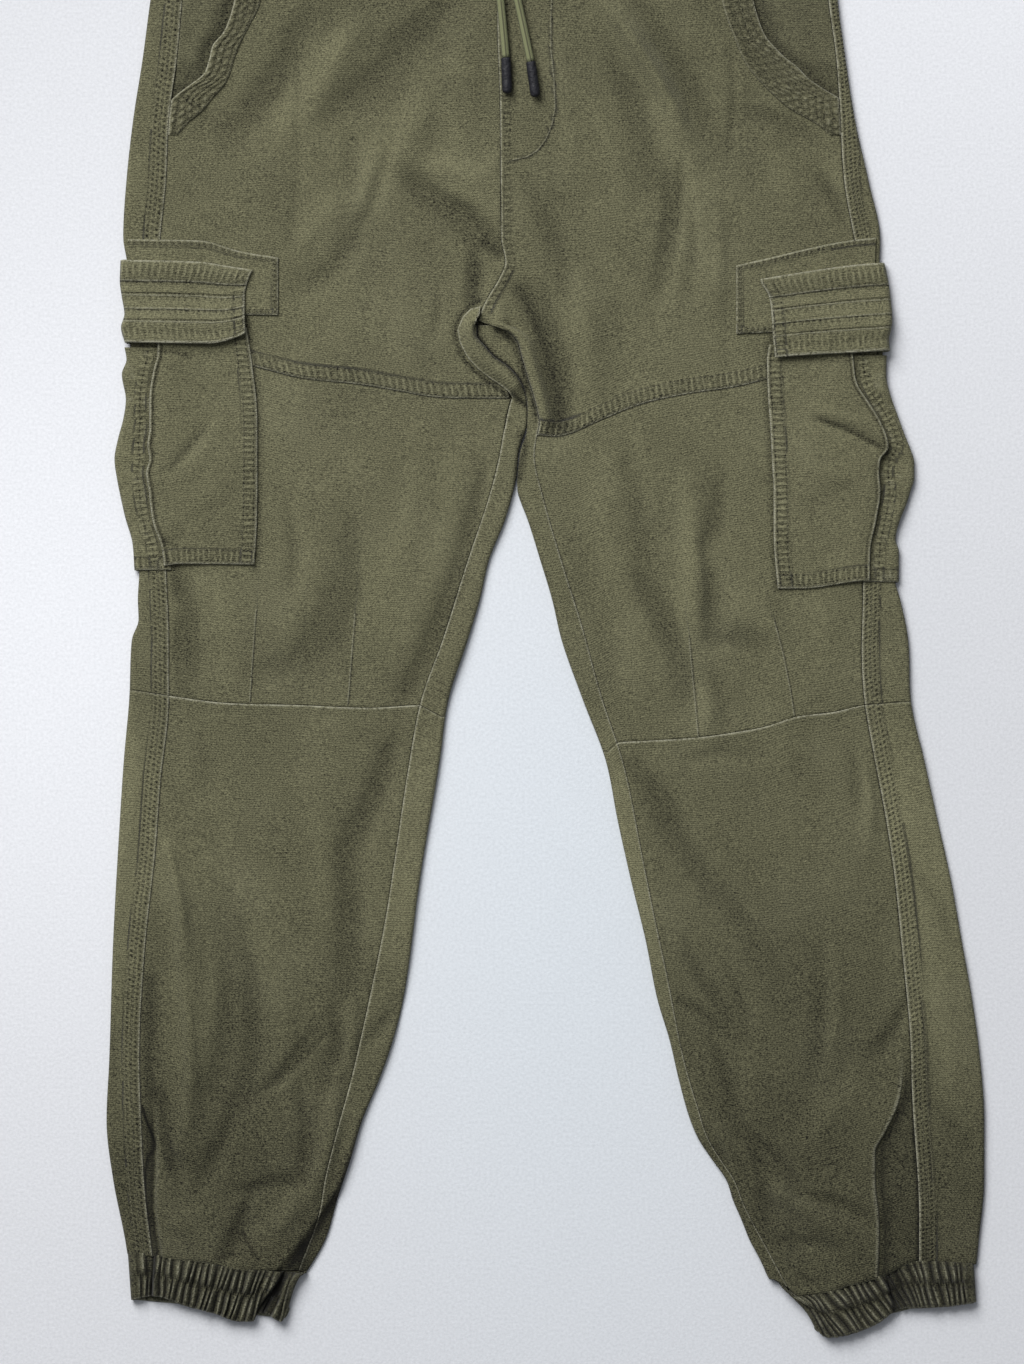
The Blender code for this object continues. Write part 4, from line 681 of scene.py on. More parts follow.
def region_tone(across, down, height):
    """How pale the cloth is: paler over the thighs and darker towards waist and hems, partly from abrasion
    and partly painted shade; darker in its creases as painted shade, paler on its ridges from abrasion and
    painted highlight.
    """
    drift = 0.05 * relief(across, down, 70, 81) + 0.03 * relief(across, 0.4 * down, 28, 82)
    # Painted shade in the creases below the laid face; ridges above it paler from abrasion and painted
    # highlight.
    risen = np.where(height > 1.8, np.clip(height - LAID, -2.7, 2.0), 0.0)
    return paleness_down(down) * (1 + drift) * (1 + np.where(risen < 0, 0.12, 0.055) * risen)


class Cloth:
    """A piece of cloth as a grid of places: columns from start edge to end edge, rows from head to foot."""

    def __init__(self, name, places, kept=None):
        self.name, self.kept = name, kept
        self.places = np.array(places, float)
        across = np.linalg.norm(np.diff(self.places, axis=1), axis=2)
        down = np.linalg.norm(np.diff(self.places, axis=0), axis=2)
        if kept is not None:
            across = across * kept[:, 1:]
        start = np.pad(np.cumsum(across, 1), ((0, 0), (1, 0)))
        head = np.pad(np.cumsum(down, 0), ((1, 0), (0, 0)))
        self.away = {"start": start, "end": start[:, -1:] - start, "head": head, "foot": head[-1:] - head}
        self.wear, self.pucker, self.along, self.hold, self.quilt = (np.zeros(start.shape) for _ in range(5))
        self.tone, self.lit = region_tone(*np.moveaxis(self.places, -1, 0)), np.ones(start.shape)
        for pieces, width, depth, *route in SHADOWS:
            if name in pieces.split():
                self.shadow(route, width, depth)
        self.off, self.row = np.full(start.shape, 50.0), np.full(start.shape, 50.0)

    def run(self, edge):
        """Distance along that edge, for each place."""
        if edge in ("start", "end"):
            return self.away["head"].mean(1, keepdims=True) + 0 * self.away["head"]
        return self.away["start"].mean(0, keepdims=True) + 0 * self.away["start"]

    def edge(self, edge, rows, worn=0.0, reach=1.6):
        """Heights of an edge: rows of distance in from it and rise. The edge itself is paler, rubbed and with
        a painted highlight.
        """
        away = self.away[edge]
        self.places[..., 2] += np.interp(away, [row[0] for row in rows], [row[1] for row in rows])
        self.wear = np.maximum(self.wear, worn * (1 - ease(0.2, reach, away)))
        return self

    def gather(self, held, along):
        """Puckers of that strength where there are no stronger ones. It tells where."""
        more = held > self.pucker
        self.along, self.pucker = np.where(more, along, self.along), np.maximum(self.pucker, held)
        return more

    def band(self, edge, low, high, strength=1.0):
        """Puckers of a stitched band that runs along an edge, from low to high mm in from it."""
        away = self.away[edge]
        held = strength * between((low - 0.8, low + 0.5), (high - 0.5, high + 1.5), away)
        self.gather(held, self.run(edge))
        row = np.where(away < (low + high) / 2, away - low - 0.6, high - 0.6 - away)
        self.row = np.where(abs(row) < abs(self.row), row, self.row)
        return self

    def shade(self, edge, depth, reach):
        """Painted shade: the cloth darkens towards an edge, where a seam's crevice lies in shade."""
        self.tone *= 1 - depth * (1 - ease(0, reach, self.away[edge]))
        return self

    def beside(self, points):
        """Signed distance off a route of (across, down) points, and the run along it, for each place."""
        x, y = self.places[..., 0], self.places[..., 1]
        off, along, run = np.full(x.shape, 99.0), np.zeros(x.shape), 0.0
        for (x0, y0), (x1, y1) in zip(points, points[1:]):
            reach = math.hypot(x1 - x0, y1 - y0)
            part = np.clip(((x - x0) * (x1 - x0) + (y - y0) * (y1 - y0)) / reach ** 2, 0, 1)
            apart = np.hypot(x - mix(x0, x1, part), y - mix(y0, y1, part))
            apart *= np.sign((x - x0) * (y1 - y0) - (y - y0) * (x1 - x0))
            near = abs(apart) < abs(off)
            off, along = np.where(near, apart, off), np.where(near, run + part * reach, along)
            run += reach
        return off, along

    def mark(self, points):
        """A thin sewn line along a route."""
        return self.sewn(self.beside(points)[0], 1.0)

    def sewn(self, off, strength):
        """A thin sewn line, from the distance off it of each place and how strongly it shows there."""
        near = abs(off) < abs(self.off)
        self.off, self.hold = np.where(near, off, self.off), np.where(near, strength, self.hold)
        return self

    def stitch(self, points, strength=0.8, reach=2.8):
        """A row of stitches along a route, with the cloth puckered beside it."""
        off, along = self.beside(points)
        held = strength * (1 - ease(reach - 1.4, reach, abs(off)))
        self.row = np.where(self.gather(held, along), off, self.row)
        return self

    def shadow(self, points, width, depth):
        """Painted shadow along a route; the hip bands' bartack lines use it as well."""
        self.lit *= 1 - depth * bell(self.beside(points)[0], width)
        return self

    def line(self, edge, inset):
        """Places of a line on the cloth that runs along an edge, inset mm in from it."""
        away, places = self.away[edge], self.places
        if edge in ("head", "foot"):
            away, places = away.T, places.transpose(1, 0, 2)
        order = slice(None, None, -1) if edge in ("end", "foot") else slice(None)
        return np.array([[np.interp(inset, apart[order], run[order, axis]) for axis in range(3)]
                         for apart, run in zip(away, places)])

    def build(self, material, slot, held, rests_on, thickness):
        """The piece as a thin shell on the frame's body, in its node's place."""
        # The painted shadows darken the tone, and the paleness of rubbed edges and highlights.
        self.tone, self.wear = self.tone * self.lit, self.wear * self.lit
        rows, columns = self.wear.shape
        bm = bmesh.new()
        bmesh.ops.create_grid(bm, x_segments=columns - 1, y_segments=rows - 1, size=1.0)
        u = np.rint([(v.co.x + 1) / 2 * (columns - 1) for v in bm.verts]).astype(int)
        v = np.rint([(v.co.y + 1) / 2 * (rows - 1) for v in bm.verts]).astype(int)
        mesh = mesh_of(bm, f"{self.name}_cloth")
        mesh.vertices.foreach_set("co", world(self.places)[v, u].ravel())
        for label in CLOTH_LABELS:
            layer = mesh.attributes.new(label, "FLOAT", "POINT")
            layer.data.foreach_set("value", getattr(self, label)[v, u].astype(np.float32))
        loops = np.empty(len(mesh.loops), np.int32)
        mesh.loops.foreach_get("vertex_index", loops)
        grain = np.stack((self.away["start"][v, u], self.run("start")[v, u]), -1)
        layer = mesh.uv_layers.new(name="cloth")
        layer.data.foreach_set("uv", (grain[loops] * 0.01).astype(np.float32).ravel())
        if self.faces_down():
            mesh.flip_normals()
        if self.kept is not None:
            self.trim(mesh, u, v)
        obj = put(mesh, material, self.name)
        shell = obj.modifiers.new("thickness", "SOLIDIFY")
        shell.thickness = thickness * MM
        shell.offset = -1
        width, length, area = self.cut()

    def trim(self, mesh, u, v):
        """Leaves out the faces whose corners all lie past the cut."""
        bm = bmesh.new()
        bm.from_mesh(mesh)
        bm.verts.ensure_lookup_table()
        spare = [f for f in bm.faces if not any(self.kept[v[w.index], u[w.index]] for w in f.verts)]
        bmesh.ops.delete(bm, geom=spare, context="FACES")
        bm.to_mesh(mesh)
        bm.free()

    def faces_down(self):
        """Whether the outer side of the grid's faces looks down."""
        p = self.places
        a, b = p[1:, :-1] - p[:-1, :-1], p[:-1, 1:] - p[:-1, :-1]
        return float(np.cross(b, a)[:, : max(2, p.shape[1] // 9), 2].mean()) > 0

    def cut(self):
        """Width, length and area in metres of this piece's flat cut."""
        p = world(self.places)
        a, b, c, d = p[:-1, :-1], p[:-1, 1:], p[1:, 1:], p[1:, :-1]
        area = np.linalg.norm(np.cross(b - a, c - a), axis=2) + np.linalg.norm(np.cross(c - a, d - a), axis=2)
        if self.kept is not None:
            area = area * self.kept[1:, :-1]
        whole = slice(None) if self.kept is None else self.kept.all(0)
        width, length = self.away["start"][:, -1].max() * MM, self.away["head"][-1][whole].max() * MM
        return float(width), float(length), float(min(area.sum() / 2, width * length))


# ---------------------------------------------------------------- fronts


def settle(ends, down_of, shares, rows):
    """Across and down of a grid between two slanting edges: ends(down) gives both, down_of slants a row."""
    rows, shares = np.asarray(rows, float)[:, None], np.asarray(shares, float)[None, :]
    down = rows + 0 * shares
    for _ in range(7):
        across = mix(*ends(down), shares)
        down = down_of(across, rows)
    return across, down


def upper_start(side, down):
    """Outer edge of the front upper: the pocket opening, then the side seam."""
    corner = OPENING[side][-1][0]
    return np.where(down < corner, opening[side](down), side_seam[side](down)) - OUTWARD[side] * SEAM


def upper_down(side, across, row):
    """How far down a row of the front upper runs: the lower ones slant with the thigh seam."""
    end = UPPER_END[side]
    return row - (end - thigh_seam[side](across)) * ease(180, end - SEAM, row)


def knee_slant(side, across, down):
    """How far the rows above the knee seam slant with it."""
    return (knee_seam[side](across) - KNEE[side]) * ease(440, KNEE[side] - SEAM, down)


def calf_down(side, across, share):
    """Row of the calf at that share of its height; its foot puffs out over the cuff."""
    puffed = 1.9 + 2.0 * relief(across, 0 * across, 24, 91) + 0.6 * relief(across, 0 * across, 8, 92)
    down = mix(knee_seam[side](across) + SEAM, hem[side](across) - SEAM, share)
    return down + puffed * ease(0.93, 1.0, share)


# Profiles of edges and seams: distance in from the edge, rise
SEAM_DIP = ((0, -0.5), (0.7, -0.2), (1.8, 0.0))
FELLED = ((0, -0.1), (0.5, 0.5), (2.0, 0.6), (11.5, 0.45), (13.0, 0.0))
TOPSTITCHED = ((0, -0.1), (0.5, 0.4), (2.0, 0.5), (11.0, 0.36), (12.6, 0.0))
FLY_SEAM = ((0, -0.1), (0.6, 0.4), (2.4, 0.5), (7.5, 0.4), (9.0, 0.0))
KNEE_EDGE = ((0, -0.1), (0.6, 0.3), (3.0, 0.3), (6.0, 0.0))
INSEAM_EDGE = ((0, -0.1), (0.6, 0.25), (3.0, 0.3), (6.0, 0.0))
HEM_PUFF = ((0, -0.9), (0.8, -0.2), (2.4, 0.5), (6.0, 0.5), (11.0, 0.0))
HIP_BAND_EDGE = ((0, -0.3), (0.6, 0.3), (1.5, 0.45), (3.0, 0.0))
PATCH_HEM = ((0, -0.35), (0.6, 0.15), (1.8, 0.35), (3.6, 0.3), (5.0, 0.0))
POCKET_HEM = ((0, -0.5), (0.6, 0.2), (1.6, 0.45), (3.4, 0.15), (7.0, 0.3), (10.5, 0.25), (12.0, 0.0))
POCKET_LIP = ((0, -0.5), (0.6, 0.7), (1.4, 0.8), (2.4, -0.5), (5.0, -0.4), (9.0, 0.0))
BELLOWS_FOOT = ((0, -0.4), (0.8, 0.4), (1.6, 0.3), (3.0, 0.0))
FLAP_EDGE = ((0, -0.5), (0.5, 0.2), (1.2, 0.45), (2.0, 0.1), (2.8, 0.3), (4.0, 0.1))
CUFF_EDGE = ((0, -0.6), (0.8, 0.1), (3.0, 0.3), (5.0, 0.0))


def front_upper(side, step):
    """Front from the waist seam to the thigh seam, with the fly's edge on the left."""
    outwards = OUTWARD[side]
    top, end = WAIST_SEAM + SEAM, UPPER_END[side] - SEAM
    across, down = settle(lambda d: (upper_start(side, d), front_edge[side](d) + outwards * SEAM),
                          lambda x, row: upper_down(side, x, row),
                          graded(235, step), mix(top, end, graded(end - top, step)))
    cloth = Cloth(f"front_upper_{side}", laid(side, across, down))
    cloth.edge("start", SEAM_DIP).edge("head", SEAM_DIP).shade("start", 0.4, 1.5)
    cloth.edge("foot", TOPSTITCHED, 0.9).band("foot", 1.0, 11.5)
    if side == "l":
        above = 1 - ease(318, 326, cloth.places[..., 1])
        before = cloth.pucker
        cloth.edge("end", FLY_SEAM, 0.8)
        cloth.band("end", 2.5, 8.0, 0.65)
        cloth.pucker = np.maximum(cloth.pucker * above, before)
        cloth.stitch(FLY, 0.35, 2.4).mark(FLY)
    else:
        cloth.edge("end", SEAM_DIP, 0.1)
    # Painted shadow beside the cargo pocket's and flap's edges towards the fly.
    for table in (POCKET, FLAP):
        cloth.shadow([(row[1], row[0]) for row in table[side]], 3.0, 0.45)
    return cloth


def front_thigh(side, step):
    """Front from the thigh seam to the knee seam, with its sewn darts."""
    outwards = OUTWARD[side]
    start, knee = UPPER_END[side] + SEAM, KNEE[side]

    def down_of(across, row):
        part = (row - start) / (knee - SEAM - start)
        slant = (thigh_seam[side](across) - UPPER_END[side]) * (1 - part)
        return row + slant + knee_slant(side, across, row)

    across, down = settle(lambda d: (side_seam[side](d) - outwards * SEAM, inseam[side](d) + outwards * SEAM),
                          down_of, graded(225, step), mix(start, knee - SEAM, graded(knee - start, step)))
    cloth = Cloth(f"front_thigh_{side}", laid(side, across, down))
    cloth.edge("start", SEAM_DIP).edge("end", SEAM_DIP).edge("head", SEAM_DIP).edge("foot", SEAM_DIP)
    cloth.shade("start", 0.4, 1.5).shade("head", 0.45, 1.5).shade("end", 0.3, 1.2)
    for dart in DARTS[side]:
        cloth.mark(dart)
    # Painted shadow beside the cargo pocket's edge towards the fly.
    return cloth.shadow([(row[1], row[0]) for row in POCKET[side]], 3.0, 0.5)


def front_shin(side, step):
    """Front from the knee seam to the hem, with the pleat over the side seam."""
    outwards = OUTWARD[side]
    shares = np.concatenate((np.linspace(-1, 0, 9)[:-1], graded(170, step, (0.0, 0.5, 1.0, 1.6, 2.6))))
    rows = graded(410, step)[:, None]
    down = rows * 400 + 620 + 0 * shares[None, :]
    for _ in range(7):
        seam = side_seam[side](down) - outwards * SEAM
        fold = pleat[side](down)
        rim = inseam[side](down) + outwards * SEAM
        across = np.where(shares < 0, mix(fold, seam, -shares), mix(fold, rim, np.maximum(shares, 0)))
        down = calf_down(side, across, rows)
    cloth = Cloth(f"front_shin_{side}", laid(side, across, down))
    cloth.edge("start", SEAM_DIP).edge("end", SEAM_DIP).shade("start", 0.4, 1.5).shade("end", 0.3, 1.2)
    cloth.edge("head", KNEE_EDGE, 0.95, 1.8)
    gathered = ease(0, 40, down - PLEAT_TOP[side])
    inside = -outwards * (across - pleat[side](down))
    worn_ridge = PLEAT_WEAR[side] * gathered * between((0.2, 1.6), (1.6, 4.0), inside)
    cloth.wear = np.maximum(cloth.wear, worn_ridge)
    # Painted shade in the recess beyond the pleat's fold, deepest next to the fold.
    cloth.tone *= 1 - gathered * ease(0.0, 1.6, -inside) * (0.22 + 0.6 * bell(inside, 7.0))
    return cloth.edge("foot", HEM_PUFF, 0.35)


# ---------------------------------------------------------------- backs

STRIP, FOLD, FLOOR, INSET = 14, 10, 9, 14  # columns on the strip in front, a fold, the floor, the inner strip
HALF_TURN = np.linspace(np.pi / 2, -np.pi / 2, FOLD + 1)  # angles round a fold, from its top
ROLL_FOOT = ROLL[-1][0]


def rolled_end(fold_down):
    """Across, down and lie of the right back's free edge for the row whose fold is at fold_down."""
    downs = [row[0] for row in ROLLED_EDGE]
    return [float(np.interp(fold_down, downs, [row[k] for row in ROLLED_EDGE])) for k in (1, 2, 3)]


def back_section(side, down_of, row, wrap_from):
    """Outline of the back across one row, from the side seam round the floor to the inner edge."""
    outwards = OUTWARD[side]

    def reach(across_at):
        down = down_of(across_at(500.0), row)
        for _ in range(5):
            down = down_of(across_at(down), row)
        return float(across_at(down)), float(down)

    seam_x, seam_y = reach(lambda d: side_seam[side](d) + outwards * SEAM)
    out_x, out_y = reach(outer[side])
    in_x, in_y = reach(lambda d: inner[side](d) + outwards * SEAM)
    radius = FOLD_RADIUS * mix(0.5, 1.0, ease(400, 430, in_y))
    centre_out = out_x - outwards * FOLD_RADIUS
    centre_in = in_x + outwards * radius
    parts = []

    def add(across, down, height):
        parts.append(np.stack(np.broadcast_arrays(across, down, height), -1))

    # Strip in front, from the side seam to the outer fold
    close = np.array((0.0, 0.5, 1.1, 1.9))
    wide = abs(centre_out - seam_x)
    share = np.concatenate((close, mix(1.9, wide, np.linspace(0, 1, STRIP - 2)[1:-1]))) / wide
    across, down = mix(seam_x, centre_out, share), mix(seam_y, out_y, share)
    add(across, down, face(side, across, down))
    # Round the outer fold, then across the floor
    top, foot = face(side, centre_out, out_y), lifted(side, out_x, out_y)
    add(centre_out + outwards * FOLD_RADIUS * np.cos(HALF_TURN), out_y,
        mix(foot, top, 0.5 + 0.5 * np.sin(HALF_TURN)))
    across = np.concatenate(([out_x - outwards * RAMP[0]],
                             np.linspace(out_x - outwards * RAMP[1], centre_in + outwards * 11, FLOOR - 1)))
    down = down_of(across, row)
    add(across, down, lifted(side, across, down))
    # Round the inner fold
    if side == "r" and in_y < ROLLED_EDGE[-1][0]:
        end_x, end_y, lies_on = rolled_end(in_y)
    else:
        end_x, end_y = reach(lambda d: inseam[side](d) - outwards * SEAM)
        lies_on = 0.0
    end_top = float(face(side, end_x, end_y)) + lies_on * (1.2 + AIR)
    rim = mix(float(face(side, centre_in, in_y)), end_top + 2.6, lies_on) if side == "r" else end_top
    rim = min(rim, LAID) if side == "l" and in_y < ROLL_FOOT else rim
    turn = -HALF_TURN
    add(centre_in - outwards * radius * np.cos(turn), in_y, rim * (0.5 + 0.5 * np.sin(turn)))
    if row < wrap_from:
        parts[-1][0] = (in_x, in_y, 0.0)
    # Inner strip, up to the inseam or to the rolled edge
    part = 1 - (1 - np.linspace(0, 1, INSET + 1)[1:]) ** 1.25
    across, down = mix(centre_in, end_x, part), mix(in_y, end_y, part)
    on_face = lies_on == 0 and in_y > ROLL_FOOT
    flat = face(side, across, down) if on_face else mix(rim, end_top, part)
    flat = np.minimum(flat, LAID) if side == "l" and in_y <= ROLL_FOOT else flat
    arch = 3.4 * lies_on * np.sin(np.pi * np.minimum(part * 1.1, 1.0)) if side == "r" else 0.0
    add(across, down, flat + arch)
    return np.concatenate(parts)


def back_panel(name, side, down_of, rows, wrap_from):
    """A back piece: it lies on the floor and comes round both folds to the seams in front."""
    places = np.array([back_section(side, down_of, row, wrap_from) for row in rows])
    kept = np.ones(places.shape[:2], bool)
    kept[np.asarray(rows) < wrap_from, STRIP + FOLD + FLOOR + 2:] = False
    cloth = Cloth(name, places, kept)
    on_face = ease(0.5, 2.5, cloth.places[..., 2])
    cloth.edge("start", FELLED, 1.0, 1.9).band("start", 1.5, 12.5)
    cloth.quilt = cloth.pucker * on_face
    cloth.pucker = 0.3 * cloth.quilt
    pale = CALF_PALER[side] * between((600, 680), (900, 1000), cloth.places[..., 1])
    cloth.tone *= (1 - 0.05 * cloth.quilt) * (1 + pale)
    return cloth.edge("end", INSEAM_EDGE, 0.9, 1.6)


def back_upper(side, step):
    """Back from the waist seam to the knee seam. Its inner strip starts where the four panels meet."""
    top, rolled_foot, knee = WAIST_SEAM + SEAM, ROLLED_EDGE[-1][0], KNEE[side]
    rows = np.concatenate((mix(top, MEETING, graded(290, 2 * step))[:-1],
                           np.linspace(MEETING, rolled_foot, 60)[:-1],
                           mix(rolled_foot, knee - SEAM, graded(knee - rolled_foot, 1.3 * step))))
    cloth = back_panel(f"back_upper_{side}", side, lambda x, row: row + knee_slant(side, x, row), rows,
                       MEETING - 0.1)
    return cloth.edge("foot", SEAM_DIP)


def back_lower(side, step):
    """Back from the knee seam to the hem."""
    cloth = back_panel(f"back_lower_{side}", side, lambda x, share: calf_down(side, x, share),
                       graded(410, 1.3 * step), -1.0)
    return cloth.edge("head", SEAM_DIP, 0.3).edge("foot", SEAM_DIP)


# ---------------------------------------------------------------- hip pockets


PUFF = (5.6, 6.9)  # size of the band's puffs across and along it


def hip_band(side):
    """Quilted band on the front along the pocket opening: wavy stitched rows with puffs between them."""
    across, down = settle(lambda d: (upper_start(side, d), band_edge[side](d)),
                          lambda x, row: upper_down(side, x, row),
                          graded(24, 0.85, (0.0, 0.4, 0.9)), mix(WAIST_SEAM + SEAM, 188, graded(170, 0.95)))
    cloth = Cloth(f"hip_band_{side}", laid(side, across, down, AIR + 1.0))
    away, along = cloth.away["start"], cloth.run("start")
    wavy = away / PUFF[0] + 0.3 * relief(along, away, 9, 11) + 0.12 * relief(along, away, 4, 12)
    step = along / PUFF[1] + 0.43 * np.floor(wavy) + 0.5 * relief(along, away, 10, 13) + 0.05 * away
    rows, blobs = np.sin(np.pi * wavy) ** 2, np.sin(np.pi * step) ** 2
    puffs = rows ** 0.6 * (0.25 + 0.75 * blobs ** 0.7) * (0.75 + 0.25 * relief(along, away, 12, 14))
    held = ease(0.8, 2.6, away) * ease(0.5, 2.0, cloth.away["end"])
    cloth.places[..., 2] += 2.1 * held * puffs
    cloth.edge("start", HIP_BAND_EDGE, 1.0, 1.7)
    cloth.edge("end", ((0, -0.7), (0.8, 0.0)), 0.3)
    # Puff tops paler from rubbing and painted highlight; painted shade in the hollows between the puffs.
    cloth.wear = np.maximum(cloth.wear, 0.35 * held * ease(0.5, 1.0, puffs))
    cloth.tone *= 1 - 0.5 * held * (1 - puffs) ** 1.5
    return cloth.edge("foot", ((0, -1.1), (7.0, 0.0)))


def hip_facing(side):
    """Cloth seen inside the hip pocket opening: it runs on under the front."""
    outwards = OUTWARD[side]
    down = np.linspace(WAIST_SEAM + SEAM, 160, 70)[:, None]
    mouth = opening[side](down)
    width = outwards * (side_seam[side](down) - mouth) - 2 * SEAM
    past = mix(-8.0, width, graded(60, 2.0, (0.0, 0.6, 1.3))[None, :])
    across = mouth + outwards * past
    down = down + 0 * across
    sunk = 1 - ease(2, 10, past) * (1 - ease(130, 142, down))
    fold = fold_lines(FACING_CREASES[side], across, down) * ease(8, 14, past)
    cloth = Cloth(f"hip_facing_{side}", laid(side, across, down, fold - (1.2 + AIR + 0.05) * sunk))
    # Painted shade next to the pocket's mouth and under the front's edge.
    cloth.tone *= 1 - 0.3 * (1 - ease(4, 16, past))
    return cloth.edge("end", SEAM_DIP, 0.1)


# ---------------------------------------------------------------- cargo pockets


def pocket_patch(side, step):
    """Reinforcing patch behind the flap."""
    edge = PATCH_EDGE[side]
    across, down = settle(lambda d: (edge + 0 * d, outer[side](d) - OUTWARD[side] * FOLD_RADIUS),
                          lambda x, row: mix(patch_head[side](x), patch_foot[side](x), row),
                          graded(115, step), graded(56, step))
    cloth = Cloth(f"pocket_patch_{side}", laid(side, across, down, AIR + 1.1))
    for name in ("start", "head", "foot"):
        cloth.edge(name, PATCH_HEM, 0.75, 1.5).band(name, 1.2, 4.4, 0.8)
    return cloth


def pocket_puff(side, across, down, share_out, share_down):
    """Height of the pocket face's underside over the panel."""
    free = 1.85 * ease(0.45, 0.92, share_out)
    belly = 2.6 * np.sin(np.pi * share_down) ** 2 * np.sin(np.pi * np.minimum(share_out, 0.62))
    folds = fold_lines(POCKET_CREASES[side], across, down)
    edge = ease(0.0, 0.12, share_out) * between((0.02, 0.14), (0.9, 1.0), share_down)
    return AIR + free + belly + (folds + 0.25 * relief(across, down, 17, 21)) * edge


def cargo_pocket(side, step):
    """Face of the cargo pocket: sewn down towards the fly and at its foot, free over the bellows."""
    near, free = edges_of(POCKET[side])
    head = POCKET[side][0][0]
    shares, rows = graded(78, 0.8 * step), graded(178, 0.8 * step)
    across, down = settle(lambda d: (near(d), free(d)),
                          lambda x, row: mix(head, pocket_foot[side](x), row), shares, rows)
    height = LAID + pocket_puff(side, across, down, shares[None, :], rows[:, None]) + 1.4
    cloth = Cloth(f"cargo_pocket_{side}", np.stack((across, down, height), -1))
    for name, worn in (("start", 1.0), ("foot", 0.9)):
        cloth.edge(name, POCKET_HEM, worn, 2.0).band(name, 2.0, 11.0, 0.9)
    # Painted shadow just inside the free edge, under its rolled lip.
    cloth.tone *= POCKET_SHADE[side] * (1 - 0.65 * bell(cloth.away["end"] - 2.7, 1.0))
    return cloth.edge("end", POCKET_LIP, 1.0, 2.0)


def wrapped(side, across, down, top, radius, reach):
    """A section on the leg's face that goes round its outer fold and a little way under it."""
    outwards = OUTWARD[side]
    fold, fold_down = across[-1], down[-1]
    centre = fold - outwards * radius
    crown = float(top(centre, fold_down))
    under = np.linspace(centre, fold - outwards * reach, 5)[1:]
    return np.concatenate((
        np.stack((across[:-1], down[:-1], top(across[:-1], down[:-1])), -1),
        np.stack((centre + outwards * radius * np.cos(HALF_TURN), fold_down + 0 * HALF_TURN,
                  crown * (0.5 + 0.5 * np.sin(HALF_TURN))), -1),
        np.stack((under, fold_down + 0 * under, 0 * under), -1)))


def cargo_bellows(side):
    """Gusset that lets the pocket swell, from under the pocket's free edge round the leg's fold."""
    outwards = OUTWARD[side]
    _, free = edges_of(POCKET[side])
    end = float(pocket_foot[side](OUTER[side][15][1])) - 0.5
    sections = []
    for down in mix(BELLOWS_TOP[side], end, graded(170, 2.0)):
        fold = float(bellows_fold[side](down))
        tuck = float(free(down)) - outwards * 5
        across = np.append(np.linspace(tuck, fold - outwards * 4.6, 12), fold)

        def top(x, y):
            past = outwards * (x - tuck)
            crumple = fold_lines(BELLOWS_CREASES[side], x, y) + 0.45 * relief(x, y, 9, 31)
            return LAID + AIR + 1.2 + crumple * ease(5, 9, past)

        sections.append(wrapped(side, across, down + 0 * across, top, BELLOWS_RADIUS, UNDER_REACH))
    cloth = Cloth(f"cargo_bellows_{side}", sections)
    marks = np.arange(BELLOWS_TOP[side], end, 6.0)
    edge = [(float(free(down)) + outwards * 7.0, float(down)) for down in marks]
    # Stitches on the bellows, and a painted shadow beside the pocket's free edge.
    cloth.stitch(edge, 0.8, 5.0).shadow([(x - outwards * 5.6, y) for x, y in edge], 1.2, 0.4)
    uneven = relief(cloth.away["head"], cloth.away["start"], 6, 33)
    cloth.wear = 0.25 * ease(0.3, 1.0, uneven) * ease(1, 3, cloth.places[..., 2])
    return cloth.band("foot", 1.5, 9.5, 0.8).edge("foot", BELLOWS_FOOT, 0.8)


